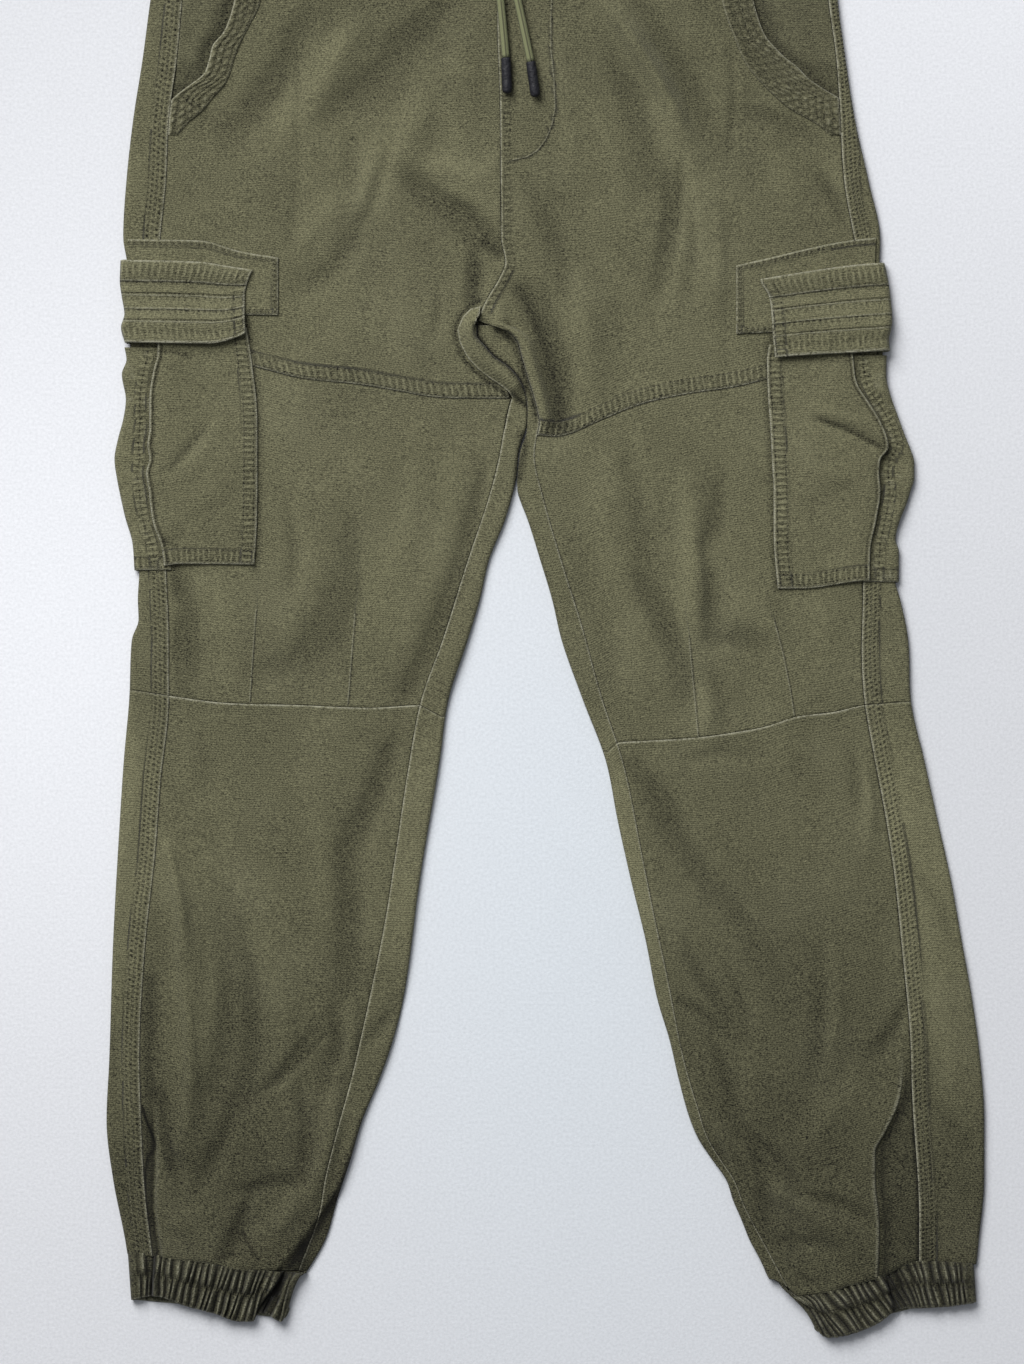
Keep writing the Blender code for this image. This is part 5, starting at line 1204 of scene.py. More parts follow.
def cargo_flap(side):
    """Pocket flap with tucks stitched along it, over the patch and the pocket's mouth."""
    outwards = OUTWARD[side]
    table = FLAP[side]
    near, fold = edges_of(table)
    over = table[2][0], table[3][0] + 6
    raised = curve(list(zip(FLAP_ROWS, FLAP_RAISED)))
    shares = graded(61, 0.75, (0.0, 0.4, 0.9))
    out = graded(90, 1.8, (0.0, 0.5, 1.1, 2.0))[:-4]

    def top(across, down):
        return LAID + mix(AIR + 1.0 + AIR + 0.1, 5.2, ease(*over, down)) + 1.5

    sections = []
    for share in shares:
        down = np.full(len(out) + 1, mix(table[0][0], table[-1][0], share))
        for _ in range(6):
            laid_out = mix(near(down[:-1]), fold(down[:-1]) - outwards * 5.2, out / out[-1])
            across = np.append(laid_out, fold(down[-1]))
            down = mix(flap_head[side](across), flap_foot[side](across), share)
        section = wrapped(side, across, down, top, FLAP_RADIUS, UNDER_REACH)
        x, y, height = section.T
        lift = float(raised(share)) * ease(0, 3, outwards * (x - near(y))) * ease(6.0, 7.5, height)
        section[:, 2] = height + lift + 0.3 * relief(x, y, 15, 41) * ease(6.5, 8, height)
        sections.append(section)
    cloth = Cloth(f"cargo_flap_{side}", sections)
    on_face = ease(3.5, 6.0, cloth.places[..., 2])
    across_run = cloth.run("head")
    share_rows = shares[:, None] + 0 * across_run
    # Stitched rows, then the lines of the tucks
    for centre, width, strength in FLAP_STITCHING:
        held = strength * bell(share_rows - centre, width) * on_face
        cloth.gather(held, across_run)
    for turn, centre in enumerate(FLAP_TUCKS):
        off = (share_rows - centre) * cloth.away["head"][-1, 0] * (-1) ** turn
        cloth.sewn(off, on_face)
    # Painted shade along the first tuck's crease.
    cloth.tone *= 1 - 0.45 * on_face * bell(share_rows - FLAP_TUCKS[0], 0.03)
    before, below = cloth.pucker, ease(0.28, 0.34, share_rows)
    cloth.band("start", 1.4, 9.0, 0.8)
    cloth.pucker = np.maximum(cloth.pucker * below, before)
    cloth.edge("start", FLAP_EDGE, 1.1, 2.4).edge("foot", FLAP_EDGE, 1.3, 3.0)
    return cloth.edge("head", ((0, -0.5), (0.7, 0.0)), 0.8, 2.0)


# ---------------------------------------------------------------- waistband and cuffs

ELASTIC_ROWS = (0.0, 0.48, 1.0)  # shares of the height where the elastic is sewn down
PER_GATHER = 12  # columns on a gather


def draw_gathers(gathers, seed):
    """Uneven gathers for the upper half of a ring and for the lower: their bounds, depths and lean."""
    draw = np.random.default_rng(seed)
    widths = draw.uniform(0.5, 1.6, gathers)
    halves = []
    for _ in range(2):
        widths = 0.55 * widths + 0.45 * draw.uniform(0.45, 1.7, gathers)
        bounds = np.concatenate(([0], np.cumsum(widths))) / widths.sum()
        halves.append((bounds, draw.uniform(0.5, 1.35, gathers), draw.uniform(0.22, 0.78, gathers)))
    return halves


def gather_waves(halves, part, share):
    """Ridges of the gathers across a row of a ring, how deep each is, and the place within its gather."""
    shifted = np.clip(part + 0.004 * np.sin(share * 5 + part * 31), 0, 0.9999)
    waves = []
    for marks, depths, lean in halves:
        gather = np.clip(np.searchsorted(marks, shifted, side="right") - 1, 0, len(depths) - 1)
        phase = (shifted - marks[gather]) / (marks[gather + 1] - marks[gather])
        peak = lean[gather]
        waves.append((np.minimum(phase / peak, (1 - phase) / (1 - peak)) ** 0.75, depths[gather]))
    ridge, depth = (mix(above, below, ease(0.44, 0.54, share)) for above, below in zip(*waves))
    return ridge, depth, phase


def stepped_down(steps, across, share):
    """How far a row of a ring is down on a lower fold, from 0 to 1."""
    sunk = np.zeros(len(across))
    for at_head, at_foot, sign, reach, fall in steps:
        beyond = sign * (across - mix(at_head, at_foot, share))
        here = ease(0.0, 1.2, beyond) * bell(np.maximum(beyond, 0), reach)
        sunk = np.maximum(sunk, here * fall)
    return sunk


def gathered_ring(name, ends, down_at, heights, gathers, swing, slant, rows, floor, seed, steps=()):
    """A flattened tube gathered on elastic: uneven waves on its upper face, flat where it rests, with painted
    shade in the valleys of the gathers and crests paler from rubbing and painted highlight.
    """
    halves = draw_gathers(gathers, seed)
    part = np.linspace(0, 1, gathers * PER_GATHER + 1)[:-1]
    side_out, side_up = FOLD_RADIUS * np.cos(HALF_TURN), 0.5 + 0.5 * np.sin(HALF_TURN)
    sections, crest = [], []
    for share in rows:
        low, high = ends(share)
        start, end, top = low + FOLD_RADIUS, high - FOLD_RADIUS, heights(share)
        ridge, depth, phase = gather_waves(halves, part, share)
        pinch = 1 - 0.45 * bell(share - 0.5, 0.09)
        edges = between((0, 0.05), (0.95, 1), part)
        held = sum(bell(share - row, 0.1) for row in ELASTIC_ROWS)
        fine = np.sin(np.pi * (phase * 3 + 2 * share)) ** 2 * held * 0.3
        wave = swing * (2 * ridge * depth * pinch - 1 + fine) * edges * mix(0.5, 1.0, ease(0.0, 0.22, share))
        across = mix(start, end, part) + slant * share * np.sin(np.pi * part)
        sunk = stepped_down(steps, across, share)
        wave = np.maximum(wave - 4.5 * sunk * edges, 1.5 - top)
        loop = [np.stack((across, top + wave), -1),
                np.stack((end + side_out, top * side_up), -1),
                np.array([(x, 0.0) for x in floor]),
                np.stack((start - side_out[::-1], top * side_up[::-1]), -1)]
        loop = np.concatenate(loop + [loop[0][:1]])
        sections.append(np.stack((loop[:, 0], down_at(loop[:, 0], share), loop[:, 1]), -1))
        # Painted light on the gathers: painted shade in their valleys, on the lower folds and by the
        # elastic's rows; crests paler from rubbing and painted highlight.
        dark = (1 - sunk ** 2) * (1 - 0.4 * held * (1 - fine / 0.3))
        lit = mix(0.62, ridge, edges) * np.clip(dark, 0, 1)
        crest.append(np.pad(lit, (0, len(loop) - len(ridge)), constant_values=0.62))
    cloth = Cloth(name, sections)
    crest = np.array(crest)
    cloth.wear = 0.75 * crest ** 6
    cloth.tone *= 1.15 - 1.1 * (1 - crest) ** 0.9 * ease(1.5, 4.0, cloth.places[..., 2])
    return cloth


def waistband():
    """The elastic waistband, one ring."""
    return gathered_ring(
        "waistband", lambda f: (outer["r"](WAIST_SEAM * f), outer["l"](WAIST_SEAM * f)),
        lambda x, f: mix(0.0, WAIST_SEAM - SEAM, f) + 0 * x,
        lambda f: WAISTBAND_HEIGHT, WAIST_GATHERS, 0.45, 0.0, graded(41, 2.6, (0.0, 0.8, 1.8)),
        (160.0, 0.0, -160.0), 51)


def cuff(side):
    """The elastic cuff of one leg."""
    spec = CUFF[side]
    head, foot = curve(spec["head"]), curve(spec["foot"])
    (a0, b0), (a1, b1) = spec["ends"]
    floor = [outer[side](1030) - OUTWARD[side] * reach for reach in RAMP]
    cloth = gathered_ring(
        f"cuff_{side}", lambda f: (mix(a0, a1, f), mix(b0, b1, f)), lambda x, f: mix(head(x), foot(x), f),
        lambda f: 7.2 + 1.2 * math.sin(math.pi * min(f + 0.15, 1.0)) - 1.3 * (1 - ease(0.0, 0.2, f)),
        spec["gathers"], 2.1, spec["slant"], graded(38, 1.1, (0.0, 0.5, 1.1)),
        floor if side == "l" else floor[::-1], 61, CUFF_STEPS[side])
    return cloth.edge("foot", CUFF_EDGE, 0.5).edge("head", SEAM_DIP)


# ---------------------------------------------------------------- stitching

# Stitched lines: group, pieces, height above which they are stitched, then edges and the insets of lines
STITCHED = (
    ("side_seam", "back_upper back_lower", 4.0, ("start", (2.0, 6.6, 11.4))),
    ("thigh_seam", "front_upper", 0.0, ("foot", (1.6, 10.8))),
    ("pocket", "cargo_pocket", 0.0, ("start", (2.0, 10.6)), ("foot", (2.0, 10.6)), ("end", (1.8,))),
    ("patch", "pocket_patch", 0.0, ("start", (1.6, 3.6)), ("head", (1.6, 3.6)), ("foot", (1.6, 3.6))),
    ("hip_band", "hip_band", 0.0, ("start", (1.6, 6.4, 10.8, 15.0)), ("end", (1.3,))),
)
# A stitch along its length: share of it, girth and rise as shares of the thread's
SPINDLE = ((0.0, 0.25, -0.5), (0.22, 0.9, 0.6), (0.5, 1.0, 1.0), (0.78, 0.9, 0.6), (1.0, 0.25, -0.5))
AROUND = 5  # points round a stitch
STITCH_LIFT = 0.16


def seam_stitches(lines, length, gap):
    """Stitches along lines of places: the two ends of each."""
    found = []
    for line in lines:
        steps = np.linalg.norm(np.diff(line, axis=0), axis=1)
        run = np.concatenate(([0], np.cumsum(steps)))
        marks = np.arange(0.5 * length, run[-1] - 0.4 * length, length + gap)
        ends = [np.stack([np.interp(marks + k * length / 2, run, line[:, axis]) for axis in range(3)], -1)
                for k in (-1, 1)]
        found.append(np.stack(ends))
    return np.concatenate(found, 1)


def sew(name, stitches, width, material):
    """All stitches of one seam group as one mesh of small rounded spindles."""
    starts, ends = stitches
    run = ends - starts
    run /= np.linalg.norm(run, axis=1, keepdims=True) + 1e-9
    side = np.cross(run, (0.0, 0.0, 1.0))
    side /= np.linalg.norm(side, axis=1, keepdims=True) + 1e-9
    up = np.cross(side, run)
    rings = []
    for share, girth, rise in SPINDLE:
        middle = starts + (ends - starts) * share + up * STITCH_LIFT * rise
        for turn in np.arange(AROUND) * 2 * np.pi / AROUND:
            rings.append(middle + (side * np.cos(turn) + up * 0.8 * np.sin(turn)) * width / 2 * girth)
    points = world(np.stack(rings, 1))
    corners, last = range(AROUND), len(rings) - AROUND
    faces = [(r + k, r + (k + 1) % AROUND, r + AROUND + (k + 1) % AROUND, r + AROUND + k)
             for r in range(0, last, AROUND) for k in corners]
    faces += [tuple(reversed(corners)), tuple(last + k for k in corners)]
    polygons = [tuple(len(rings) * n + k for k in corner) for n in range(len(points)) for corner in faces]
    mesh = bpy.data.meshes.new(name)
    mesh.from_pydata(points.reshape(-1, 3).tolist(), [], polygons)
    put(mesh, material)


# ---------------------------------------------------------------- materials


class Socket:
    """A shader socket that takes part in Python expressions."""

    def __init__(self, recipe, output):
        self.recipe, self.output = recipe, output

    def maths(self, operation, *values):
        """A Math node on this socket and the other values."""
        return self.recipe.node("ShaderNodeMath", {"operation": operation}, dict(enumerate((self, *values))))

    def __add__(self, other):
        return self.maths("ADD", other)

    __radd__ = __add__

    def __sub__(self, other):
        return self.maths("SUBTRACT", other)

    def __rsub__(self, other):
        return (self * -1.0).maths("ADD", other)

    def __mul__(self, other):
        return self.maths("MULTIPLY", other)

    __rmul__ = __mul__

    def __pow__(self, other):
        return self.maths("POWER", other)

    def sine(self):
        return self.maths("SINE")

    def swing(self, step, late=0.0):
        """From -1 to 1 and back in each step, late by that angle."""
        angle = self * (2 * math.pi / step)
        return (angle - late if late else angle).sine()

    def bell(self, sharpness):
        """1 where the value is 0, falling off to both sides."""
        return (self * self * -sharpness).maths("EXPONENT")

    def least(self, other):
        return self.maths("MINIMUM", other)

    def most(self, other):
        return self.maths("MAXIMUM", other)


class Recipe:
    """A material under construction."""

    def __init__(self, name):
        self.material = bpy.data.materials.new(name)
        self.material.use_nodes = True
        self.tree = self.material.node_tree
        self.shader = self.tree.nodes["Principled BSDF"]

    def node(self, kind, settings, inputs, output=0):
        """A node: its settings first, then the values or links of its sockets."""
        made = self.tree.nodes.new(kind)
        for key, value in settings.items():
            setattr(made, key, value)
        self.feed(made, inputs)
        return Socket(self, made.outputs[output])

    def feed(self, made, inputs):
        """Sets or links the inputs of a node."""
        for key, value in inputs.items():
            if isinstance(value, Socket):
                self.tree.links.new(value.output, made.inputs[key])
            else:
                made.inputs[key].default_value = value

    def place(self):
        """Places on the object, in metres."""
        return self.node("ShaderNodeTexCoord", {}, {}, "Object")

    def parts(self, vector):
        """The first two numbers of a vector."""
        split = self.node("ShaderNodeSeparateXYZ", {}, {0: vector}).output.node
        return Socket(self, split.outputs[0]), Socket(self, split.outputs[1])

    def attribute(self, name):
        """A value that each point of the cloth carries."""
        return self.node("ShaderNodeAttribute", {"attribute_name": name}, {}, "Fac")

    def noise(self, place, cell, detail=2.0, roughness=0.5):
        """Noise from -1 to 1 with features of about that cell's size in mm."""
        settings = {"Vector": place, "Scale": 1000.0 / cell, "Detail": detail, "Roughness": roughness}
        return (self.node("ShaderNodeTexNoise", {}, settings) - 0.5) * 3.2

    def blend(self, factor, a, b):
        """Colour a where the factor is 0, colour b where it is 1."""
        return self.node("ShaderNodeMix", {"data_type": "RGBA"}, {0: factor, 6: a, 7: b}, 2)

    def scaled(self, colour, factor):
        """The colour made paler or darker by a factor."""
        colour = colour if isinstance(colour, Socket) else colour[:3]
        return self.node("ShaderNodeVectorMath", {"operation": "SCALE"}, {0: colour, "Scale": factor})

    def finish(self, colour, roughness, height, **constants):
        """Colour, roughness and relief (in mm) of the surface, and what is the same all over it."""
        bump = self.node("ShaderNodeBump", {}, {"Strength": 1.0, "Distance": MM, "Height": height})
        self.feed(self.shader, {"Base Color": colour, "Roughness": roughness, "Normal": bump})
        self.feed(self.shader, {name.replace("_", " "): value for name, value in constants.items()})
        return self.material


def solid(colour):
    """A colour property as an opaque colour."""
    return (*colour, 1.0)


# Steps in mm: ribs of the weave, its slubs, puckers, dots of a felled seam across and along it, stitches
RIB, SLUB, PUCKER, QUILT, SEWN = 1.75, 1.15, 4.6, (3.4, 3.7), 3.0


def twill(name, cloth, worn):
    """Faded cotton twill: fine crosswise ribs, puckered seams, pale rubbed edges with painted highlights, and
    the painted shade that its tone and grooves carry.
    """
    r = Recipe(name)
    place = r.place()
    across, down = (part * 100.0 for part in r.parts(r.node("ShaderNodeUVMap", {"uv_map": "cloth"}, {})))
    wear, pucker, along, tone, off, hold, row, quilt = (r.attribute(label) for label in CLOTH_LABELS)
    fade, mottle = r.noise(place, 85, 3.0, 0.6), r.noise(place, 12, 3.0, 0.65)
    speckle = r.noise(place, 1.6, 1.5, 0.7)
    threads = r.node("ShaderNodeMapping", {"vector_type": "POINT"}, {0: place, "Scale": (0.85, 1.0, 1.0)})
    grain = r.noise(threads, 1.0, 1.0)
    wave, swirl = r.noise(place, 8, 2.0), r.noise(place, 34, 2.0)
    rib = (down + wave * 0.75 + swirl * 2.2).swing(RIB)
    slub = (across * 0.6 + down * 0.9 + wave * 0.8).swing(SLUB)
    ladder = (along + r.noise(place, 5, 2.0) * 0.8).swing(PUCKER) * 0.5 + 0.5
    gathered = pucker * (ladder ** 1.5) * (0.85 + 0.55 * r.noise(place, 7)).most(0.2)
    bumpy = wave * 0.5
    rows = (across + bumpy).swing(QUILT[0], 4.1) * 0.5 + 0.5
    dots = rows * ((along + bumpy + across * 0.45).swing(QUILT[1]) * 0.5 + 0.5) * quilt
    # A thin sewn line: a pale rubbed ridge on it, and a groove beside it darkened as painted shade.
    ridge, groove = hold * off.bell(4.0), hold * (off - 1.0).bell(3.0)
    sewn = pucker * row.bell(2.2) * (0.8 + 0.4 * along.swing(SEWN))
    rough = (0.05 * mottle + 0.28 * speckle + 0.6 * grain) * (tone.most(0.5) ** -0.8)
    light = (1.0 + 0.12 * fade + 0.08 * rib + 0.06 * slub + 1.25 * rough + 0.16 * quilt - 0.72 * dots
             + 0.62 * gathered - 0.3 * pucker - 0.45 * groove - 0.55 * sewn) * tone
    patchy = (wear * (0.8 + 1.2 * speckle + 0.6 * mottle) + 0.55 * ridge * (0.7 + speckle) + 0.05 * fade
              + 0.06 * gathered).most(0.0).least(1.0)
    colour = r.blend(patchy, r.scaled(solid(cloth), light), solid(worn))
    height = (0.08 * rib + 0.05 * slub + 0.13 * speckle + 0.12 * grain + 0.12 * mottle + 0.75 * gathered
              - 0.7 * dots + 0.3 * ridge - 0.4 * groove - 0.35 * sewn)
    return r.finish(colour, 0.92 - 0.05 * patchy, height, Sheen_Weight=0.1, Sheen_Roughness=0.5,
                    Specular_IOR_Level=0.2)


def thread(name, colour):
    """Matt sewing thread."""
    r = Recipe(name)
    place = r.place()
    fade = r.noise(place, 14, 3.0)
    twist = r.noise(place, 0.8, 1.0)
    return r.finish(r.scaled(solid(colour), 1.0 + 0.16 * fade + 0.1 * twist), 0.8, 0.05 * twist,
                    Specular_IOR_Level=0.3)


def braid(name, colour, stripe):
    """Tubular braid of the cord: fine chevrons and darker stripes that run lengthwise."""
    r = Recipe(name)
    turn, along = r.parts(r.node("ShaderNodeUVMap", {"uv_map": "cord"}, {}))
    chevron = ((turn * 16 * math.pi).sine().maths("ABSOLUTE") * 1.2 + along * 10.0).sine()
    stripes = (turn * 10 * math.pi + 0.6).sine()
    mask = (stripes * 2.2 - 0.9).most(0.0).least(1.0)
    shade = 1.0 + 0.16 * chevron
    return r.finish(r.scaled(r.blend(mask, solid(colour), solid(stripe)), shade), 0.75, 0.12 * chevron,
                    Sheen_Weight=0.1)


def tip(name, colour):
    """Dipped cord tip: a dark wrinkled sleeve."""
    r = Recipe(name)
    wrinkle = r.noise(r.place(), 3.5, 3.0, 0.6)
    return r.finish(r.scaled(solid(colour), 1.0 + 0.25 * wrinkle), 0.55 + 0.06 * wrinkle, 0.35 * wrinkle,
                    Specular_IOR_Level=0.3)


def backdrop(name, colour):
    """Pale woven sheet with painted light on it: a brighter painted pool beside the legs, a painted fall of
    light across the top, and painted bluish light between the legs.
    """
    r = Recipe(name)
    place = r.place()
    weave = r.noise(place, 2.2, 2.0, 0.65)
    cloud = r.noise(place, 40, 3.0)
    across, away = r.parts(place)
    # Painted light: a pool of light beside the legs, a fall of light across the top, and bluish light between
    # the legs.
    painted_glow = (across + 0.36).bell(12.0) * (away + 0.02).bell(9.0)
    fall = (0.905 + 0.15 * painted_glow + 0.43 * across * away.most(0.0)).most(0.75).least(1.1)
    painted_cool_light = (across - 0.02).bell(30.0) * (away + 0.22).bell(8.0)
    tinted = r.blend(painted_cool_light * 0.55, solid(colour), (colour[0] * 0.99, colour[1] * 1.07, colour[2] * 1.1, 1.0))
    return r.finish(r.scaled(tinted, (1.0 + 0.008 * cloud + 0.1 * weave) * fall), 0.85, 0.05 * weave,
                    Specular_IOR_Level=0.1)


# ---------------------------------------------------------------- drawstring


ON_BAND = WAISTBAND_HEIGHT + 0.45 + AIR  # height of what lies on the waistband


def cord_height(across, down):
    """Height of the cord's middle: it lies on the waistband, then on the fronts."""
    near = [float(face("r" if x < 0 else "l", x, down)) for x in (across - 3, across, across + 3)]
    past_band = float(ease(WAIST_SEAM - 2, WAIST_SEAM + 16, down))
    return mix(ON_BAND, max(near) + AIR + 0.3, past_band) + CORD / 2


def rod(name, centres, radii, material, node, around=20):
    """A round piece along a line of places, closed at both ends."""
    centres, radii = np.asarray(centres, float), np.asarray(radii, float)[:, None, None]
    run = np.gradient(centres, axis=0)
    run /= np.linalg.norm(run, axis=1, keepdims=True)
    side = np.cross(run, (0.0, 0.0, 1.0)) + np.array((1e-6, 0, 0))
    side /= np.linalg.norm(side, axis=1, keepdims=True)
    up = np.cross(side, run)
    turn = np.linspace(0, 2 * np.pi, around + 1)[:-1][None, :, None]
    rings = centres[:, None] + radii * (side[:, None] * np.cos(turn) + up[:, None] * np.sin(turn))
    bm = bmesh.new()
    uv = bm.loops.layers.uv.new("cord")
    verts = [[bm.verts.new(place) for place in ring] for ring in world(rings)]
    length = np.concatenate(([0], np.cumsum(np.linalg.norm(np.diff(centres, axis=0), axis=1))))
    for i in range(len(verts) - 1):
        for k in range(around):
            corners = ((i, k), (i, k + 1), (i + 1, k + 1), (i + 1, k))
            quad = bm.faces.new([verts[a][b % around] for a, b in corners])
            for loop, (a, b) in zip(quad.loops, corners):
                loop[uv].uv = (b / around, length[a])
    for ring in (verts[0][::-1], verts[-1]):
        bm.faces.new(ring)
    bmesh.ops.recalc_face_normals(bm, faces=bm.faces[:])
    return put(mesh_of(bm, name), material, node)


def cord_line(side):
    """Middle of a drawstring, from where it comes up out of the waistband to its tip."""
    rows = DRAWSTRING[side]
    across_at = curve([(down, across) for across, down in rows])
    x0, y0 = rows[0]
    line = [(x0, y0, ON_BAND), (x0, y0 + 0.6, ON_BAND + 1.6), (x0, y0 + 2.6, ON_BAND + 2.7)]
    for down in np.linspace(y0 + 6, rows[-1][1], 40):
        across = float(across_at(down))
        line.append((across, down, cord_height(across, down)))
    return np.array(line)


def drawstring(side):
    """One end of the drawstring with its tip."""
    line = cord_line(side)
    end_x, end_y, end_z = line[-1]
    aim_x, aim_y = AGLET_AIM[side]
    length = math.hypot(aim_x - end_x, aim_y - end_y)
    height = end_z + (AGLET - CORD) / 2
    sleeve = np.linspace(2.5, AGLET_LENGTH - 3.4, 22)
    uneven = 1.0 + 0.035 * relief(np.arange(22.0), np.full(22, 7.0), 1.6, 71)
    reach = np.concatenate(([row[0] for row in AGLET_HEAD], sleeve,
                            [AGLET_LENGTH - row[0] for row in AGLET_END]))
    girth = np.concatenate(([row[1] for row in AGLET_HEAD], uneven, [row[1] for row in AGLET_END]))
    part = reach / length
    centres = np.stack((mix(end_x, aim_x, part), mix(end_y, aim_y, part), height + 0 * part), -1)
    aglet = rod(f"aglet_{side}_tip", centres, girth * AGLET / 2, finish_of("tip"),
                f"aglet_{side}", 24)
    cord = rod(f"drawstring_{side}_cord", line, np.full(len(line), CORD / 2), finish_of("cord"),
               f"drawstring_{side}")
    path = world(line)


# ---------------------------------------------------------------- settings and operators

CLOTHS = {}  # the pieces of cloth made so far, by name
# Materials: what makes each, and its colours
FINISHES = {
    "cloth": (twill, "cloth", "worn"),
    # The facing finish is the same twill with the darker facing colour: painted shade inside the hip pockets.
    "facing": (twill, "facing", "worn"),
    "thread": (thread, "thread"),
    "cord": (braid, "cord", "cord_stripe"),
    "tip": (tip, "tip"),
    "floor": (backdrop, "floor"),
}


def sizes():
    """The sizes set in the panel."""
    return bpy.context.scene.joggers_sizes


def finish_of(kind):
    """The material of that kind, made once."""
    if kind not in bpy.data.materials:
        maker, *names = FINISHES[kind]
        maker(kind, *(getattr(bpy.context.scene.joggers_colours, name) for name in names))
    return bpy.data.materials[kind]


def make(cloth, rests_on, held="laid", slot="olive_twill", finish="cloth", thickness=None):
    """Builds the piece of cloth, and keeps it for the stitching."""
    CLOTHS[cloth.name] = cloth
    cloth.build(finish_of(finish), slot, held, rests_on, thickness or sizes().cloth)


def colour_property(name, description, default):
    """A linear colour that the panel shows."""
    return bpy.props.FloatVectorProperty(name=name, description=description, default=default, subtype="COLOR",
                                         size=3, min=0.0, max=1.0)


def size_property(name, description, default):
    """A size in mm that the panel shows."""
    return bpy.props.FloatProperty(name=name, description=description, default=default, min=0.01, max=100.0)


class JoggersSizes(bpy.types.PropertyGroup):
    """Sizes in millimetres"""

    cloth: size_property("Cloth", "Thickness of the cloth, mm", CLOTH)
    step: size_property("Mesh step", "Distance between the cloth's points, mm", MESH_STEP)
    stitch: size_property("Stitch", "Length of a stitch, mm", 2.3)
    gap: size_property("Stitch gap", "Gap between stitches, mm", 0.8)
    thread: size_property("Thread", "Width of the sewing thread, mm", 0.5)


class JoggersColours(bpy.types.PropertyGroup):
    """Linear colours of the finishes"""

    cloth: colour_property("Cloth", "Faded olive twill", (0.116, 0.113, 0.066))
    # Painted shade: the cloth's twill made darker for where it lies in shade inside the hip pockets.
    facing: colour_property("Facing", "Cloth inside the hip pockets", (0.094, 0.092, 0.054))
    # Paler cloth for rubbed edges and ridges, and for the painted highlights on them.
    worn: colour_property("Worn cloth", "Pale edges and ridges", (0.300, 0.296, 0.220))
    thread: colour_property("Thread", "Sewing thread", (0.150, 0.145, 0.095))
    cord: colour_property("Cord", "Drawstring", (0.215, 0.230, 0.115))
    cord_stripe: colour_property("Cord stripe", "Darker stripes along the drawstring", (0.085, 0.088, 0.045))
    tip: colour_property("Cord tip", "Dipped ends of the drawstring", (0.013, 0.0135, 0.018))
    floor: colour_property("Floor", "Pale surface under the garment", (0.775, 0.795, 0.845))


class JOGGERS_OT_camera(bpy.types.Operator):
    """Add the camera, straight above the garment"""

    bl_idname = "joggers.camera"
    bl_label = "Camera"

    def execute(self, context):
        data = bpy.data.cameras.new("overhead")
        data.sensor_width = SENSOR
        data.lens = SENSOR * CAMERA_HEIGHT / VIEW_HEIGHT
        data.clip_end = 100.0
        camera = bpy.data.objects.new("overhead", data)
        context.scene.collection.objects.link(camera)
        camera.location = (VIEW_CENTRE[0] * MM, VIEW_CENTRE[1] * MM, CAMERA_HEIGHT * MM)
        context.scene.camera = camera
        return {"FINISHED"}


class JOGGERS_OT_drawstrings(bpy.types.Operator):
    """Add the two drawstring ends and their tips"""

    bl_idname = "joggers.drawstrings"
    bl_label = "Drawstrings"

    def execute(self, context):
        for side in SIDES:
            drawstring(side)
        return {"FINISHED"}


class JOGGERS_OT_fronts(bpy.types.Operator):
    """Add the front panels from waist to hem"""

    bl_idname = "joggers.fronts"
    bl_label = "Fronts"

    def execute(self, context):
        for side in SIDES:
            for piece, part in ((front_upper, "upper"), (front_thigh, "upper"), (front_shin, "lower")):
                make(piece(side, sizes().step), [f"back_{part}_{side}"])
        return {"FINISHED"}


class JOGGERS_OT_backs(bpy.types.Operator):
    """Add the back panels, which come round to the seams in front"""

    bl_idname = "joggers.backs"
    bl_label = "Backs"

    def execute(self, context):
        for side in SIDES:
            for piece in (back_upper, back_lower):
                make(piece(side, sizes().step), ["floor"], held="folded")
        return {"FINISHED"}


class JOGGERS_OT_hip_pockets(bpy.types.Operator):
    """Add the facings and quilted bands of the hip pockets"""

    bl_idname = "joggers.hip_pockets"
    bl_label = "Hip pockets"

    def execute(self, context):
        for side in SIDES:
            make(hip_facing(side), [f"back_upper_{side}"], slot="shaded_twill", finish="facing")
            make(hip_band(side), [f"front_upper_{side}"], thickness=THIN_CLOTH)
        return {"FINISHED"}


class JOGGERS_OT_cargo_pockets(bpy.types.Operator):
    """Add patch, bellows, face and flap of the cargo pockets"""

    bl_idname = "joggers.cargo_pockets"
    bl_label = "Cargo pockets"

    def execute(self, context):
        step = sizes().step
        for side in SIDES:
            make(pocket_patch(side, 0.7 * step), [f"front_upper_{side}"], thickness=THIN_CLOTH)
            make(cargo_bellows(side), [f"front_thigh_{side}", "floor"], held="folded")
            make(cargo_pocket(side, 0.8 * step), [f"front_thigh_{side}", f"cargo_bellows_{side}"])
            make(cargo_flap(side), [f"pocket_patch_{side}", f"cargo_pocket_{side}"], held="folded")
        return {"FINISHED"}


class JOGGERS_OT_gathers(bpy.types.Operator):
    """Add the gathered waistband and cuffs"""

    bl_idname = "joggers.gathers"
    bl_label = "Waistband and cuffs"

    def execute(self, context):
        for cloth in (waistband(), cuff("r"), cuff("l")):
            make(cloth, ["floor"], held="gathered", thickness=ELASTIC)
        return {"FINISHED"}


def seam_lines(side, pieces, low, edges):
    """Stitched lines of a group, as runs of places on the cloth higher than low."""
    lines = [CLOTHS[f"{piece}_{side}"].line(edge, inset)
             for piece in pieces.split() for edge, insets in edges for inset in insets]
    return [line[line[:, 2] > low] for line in lines]


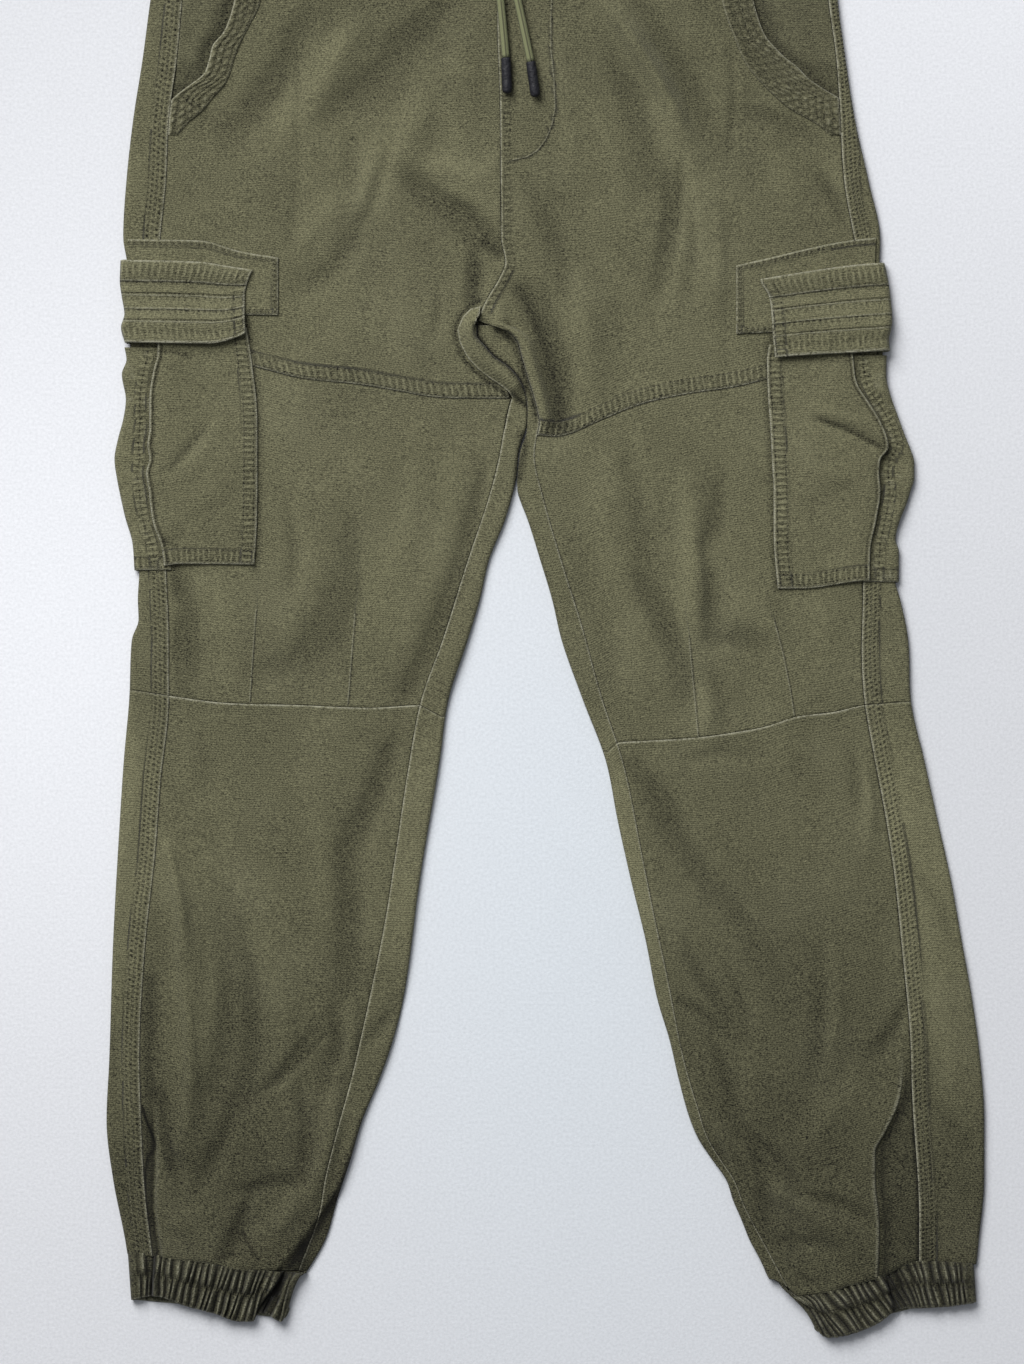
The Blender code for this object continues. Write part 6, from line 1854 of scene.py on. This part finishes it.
class JOGGERS_OT_stitching(bpy.types.Operator):
    """Sew the topstitching along the seams"""

    bl_idname = "joggers.stitching"
    bl_label = "Stitching"

    def execute(self, context):
        size = sizes()
        for side in SIDES:
            for name, pieces, low, *edges in STITCHED:
                stitches = seam_stitches(seam_lines(side, pieces, low, edges), size.stitch, size.gap)
                sew(f"stitches_{name}_{side}", stitches, size.thread, finish_of("thread"))
        return {"FINISHED"}


class JOGGERS_OT_stage(bpy.types.Operator):
    """Add the floor and the soft light"""

    bl_idname = "joggers.stage"
    bl_label = "Stage"

    def execute(self, context):
        scene = context.scene
        bm = bmesh.new()
        bmesh.ops.create_grid(bm, x_segments=8, y_segments=8, size=FLOOR_SIZE)
        mesh = mesh_of(bm, "floor")
        mesh.materials.append(finish_of("floor"))
        floor = bpy.data.objects.new("floor", mesh)
        floor.location.z = -FLOOR_DROP
        scene.collection.objects.link(floor)
        for name, place, aim, size, power, colour in LIGHTS:
            data = bpy.data.lights.new(name, "AREA")
            data.size, data.energy, data.color = size, power, colour
            light = bpy.data.objects.new(name, data)
            light.location = place
            light.rotation_euler = (Vector(aim) - Vector(place)).to_track_quat("-Z", "Y").to_euler()
            scene.collection.objects.link(light)
        studio = bpy.data.worlds.new("studio")
        studio.use_nodes = True
        sky = studio.node_tree.nodes["Background"]
        sky.inputs["Color"].default_value = SKY_COLOUR
        sky.inputs["Strength"].default_value = SKY
        scene.world = studio
        scene.view_settings.view_transform = "Standard"
        return {"FINISHED"}


STEPS = (JOGGERS_OT_camera, JOGGERS_OT_drawstrings, JOGGERS_OT_stage, JOGGERS_OT_backs, JOGGERS_OT_fronts,
         JOGGERS_OT_hip_pockets, JOGGERS_OT_cargo_pockets, JOGGERS_OT_gathers, JOGGERS_OT_stitching)


class JOGGERS_PT_panel(bpy.types.Panel):
    """Lists the steps, sizes and colours"""

    bl_idname = "JOGGERS_PT_panel"
    bl_label = "Cargo Joggers"
    bl_space_type = "VIEW_3D"
    bl_region_type = "UI"
    bl_category = "Joggers"

    def draw(self, context):
        for step in STEPS:
            self.layout.operator(step.bl_idname)
        for group in (context.scene.joggers_sizes, context.scene.joggers_colours):
            box = self.layout.box()
            for name in group.bl_rna.properties.keys():
                if name not in ("rna_type", "name"):
                    box.prop(group, name)


CLASSES = (JoggersSizes, JoggersColours, *STEPS, JOGGERS_PT_panel)


def register():
    for cls in CLASSES:
        bpy.utils.register_class(cls)
    bpy.types.Scene.joggers_sizes = bpy.props.PointerProperty(type=JoggersSizes)
    bpy.types.Scene.joggers_colours = bpy.props.PointerProperty(type=JoggersColours)


def unregister():
    del bpy.types.Scene.joggers_colours
    del bpy.types.Scene.joggers_sizes
    for cls in reversed(CLASSES):
        bpy.utils.unregister_class(cls)


def main():
    """Registers the add-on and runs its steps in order."""
    register()
    for step in STEPS:
        name = step.bl_idname.split(".")[1]
        getattr(bpy.ops.joggers, name)()


if __name__ == "__main__":
    main()
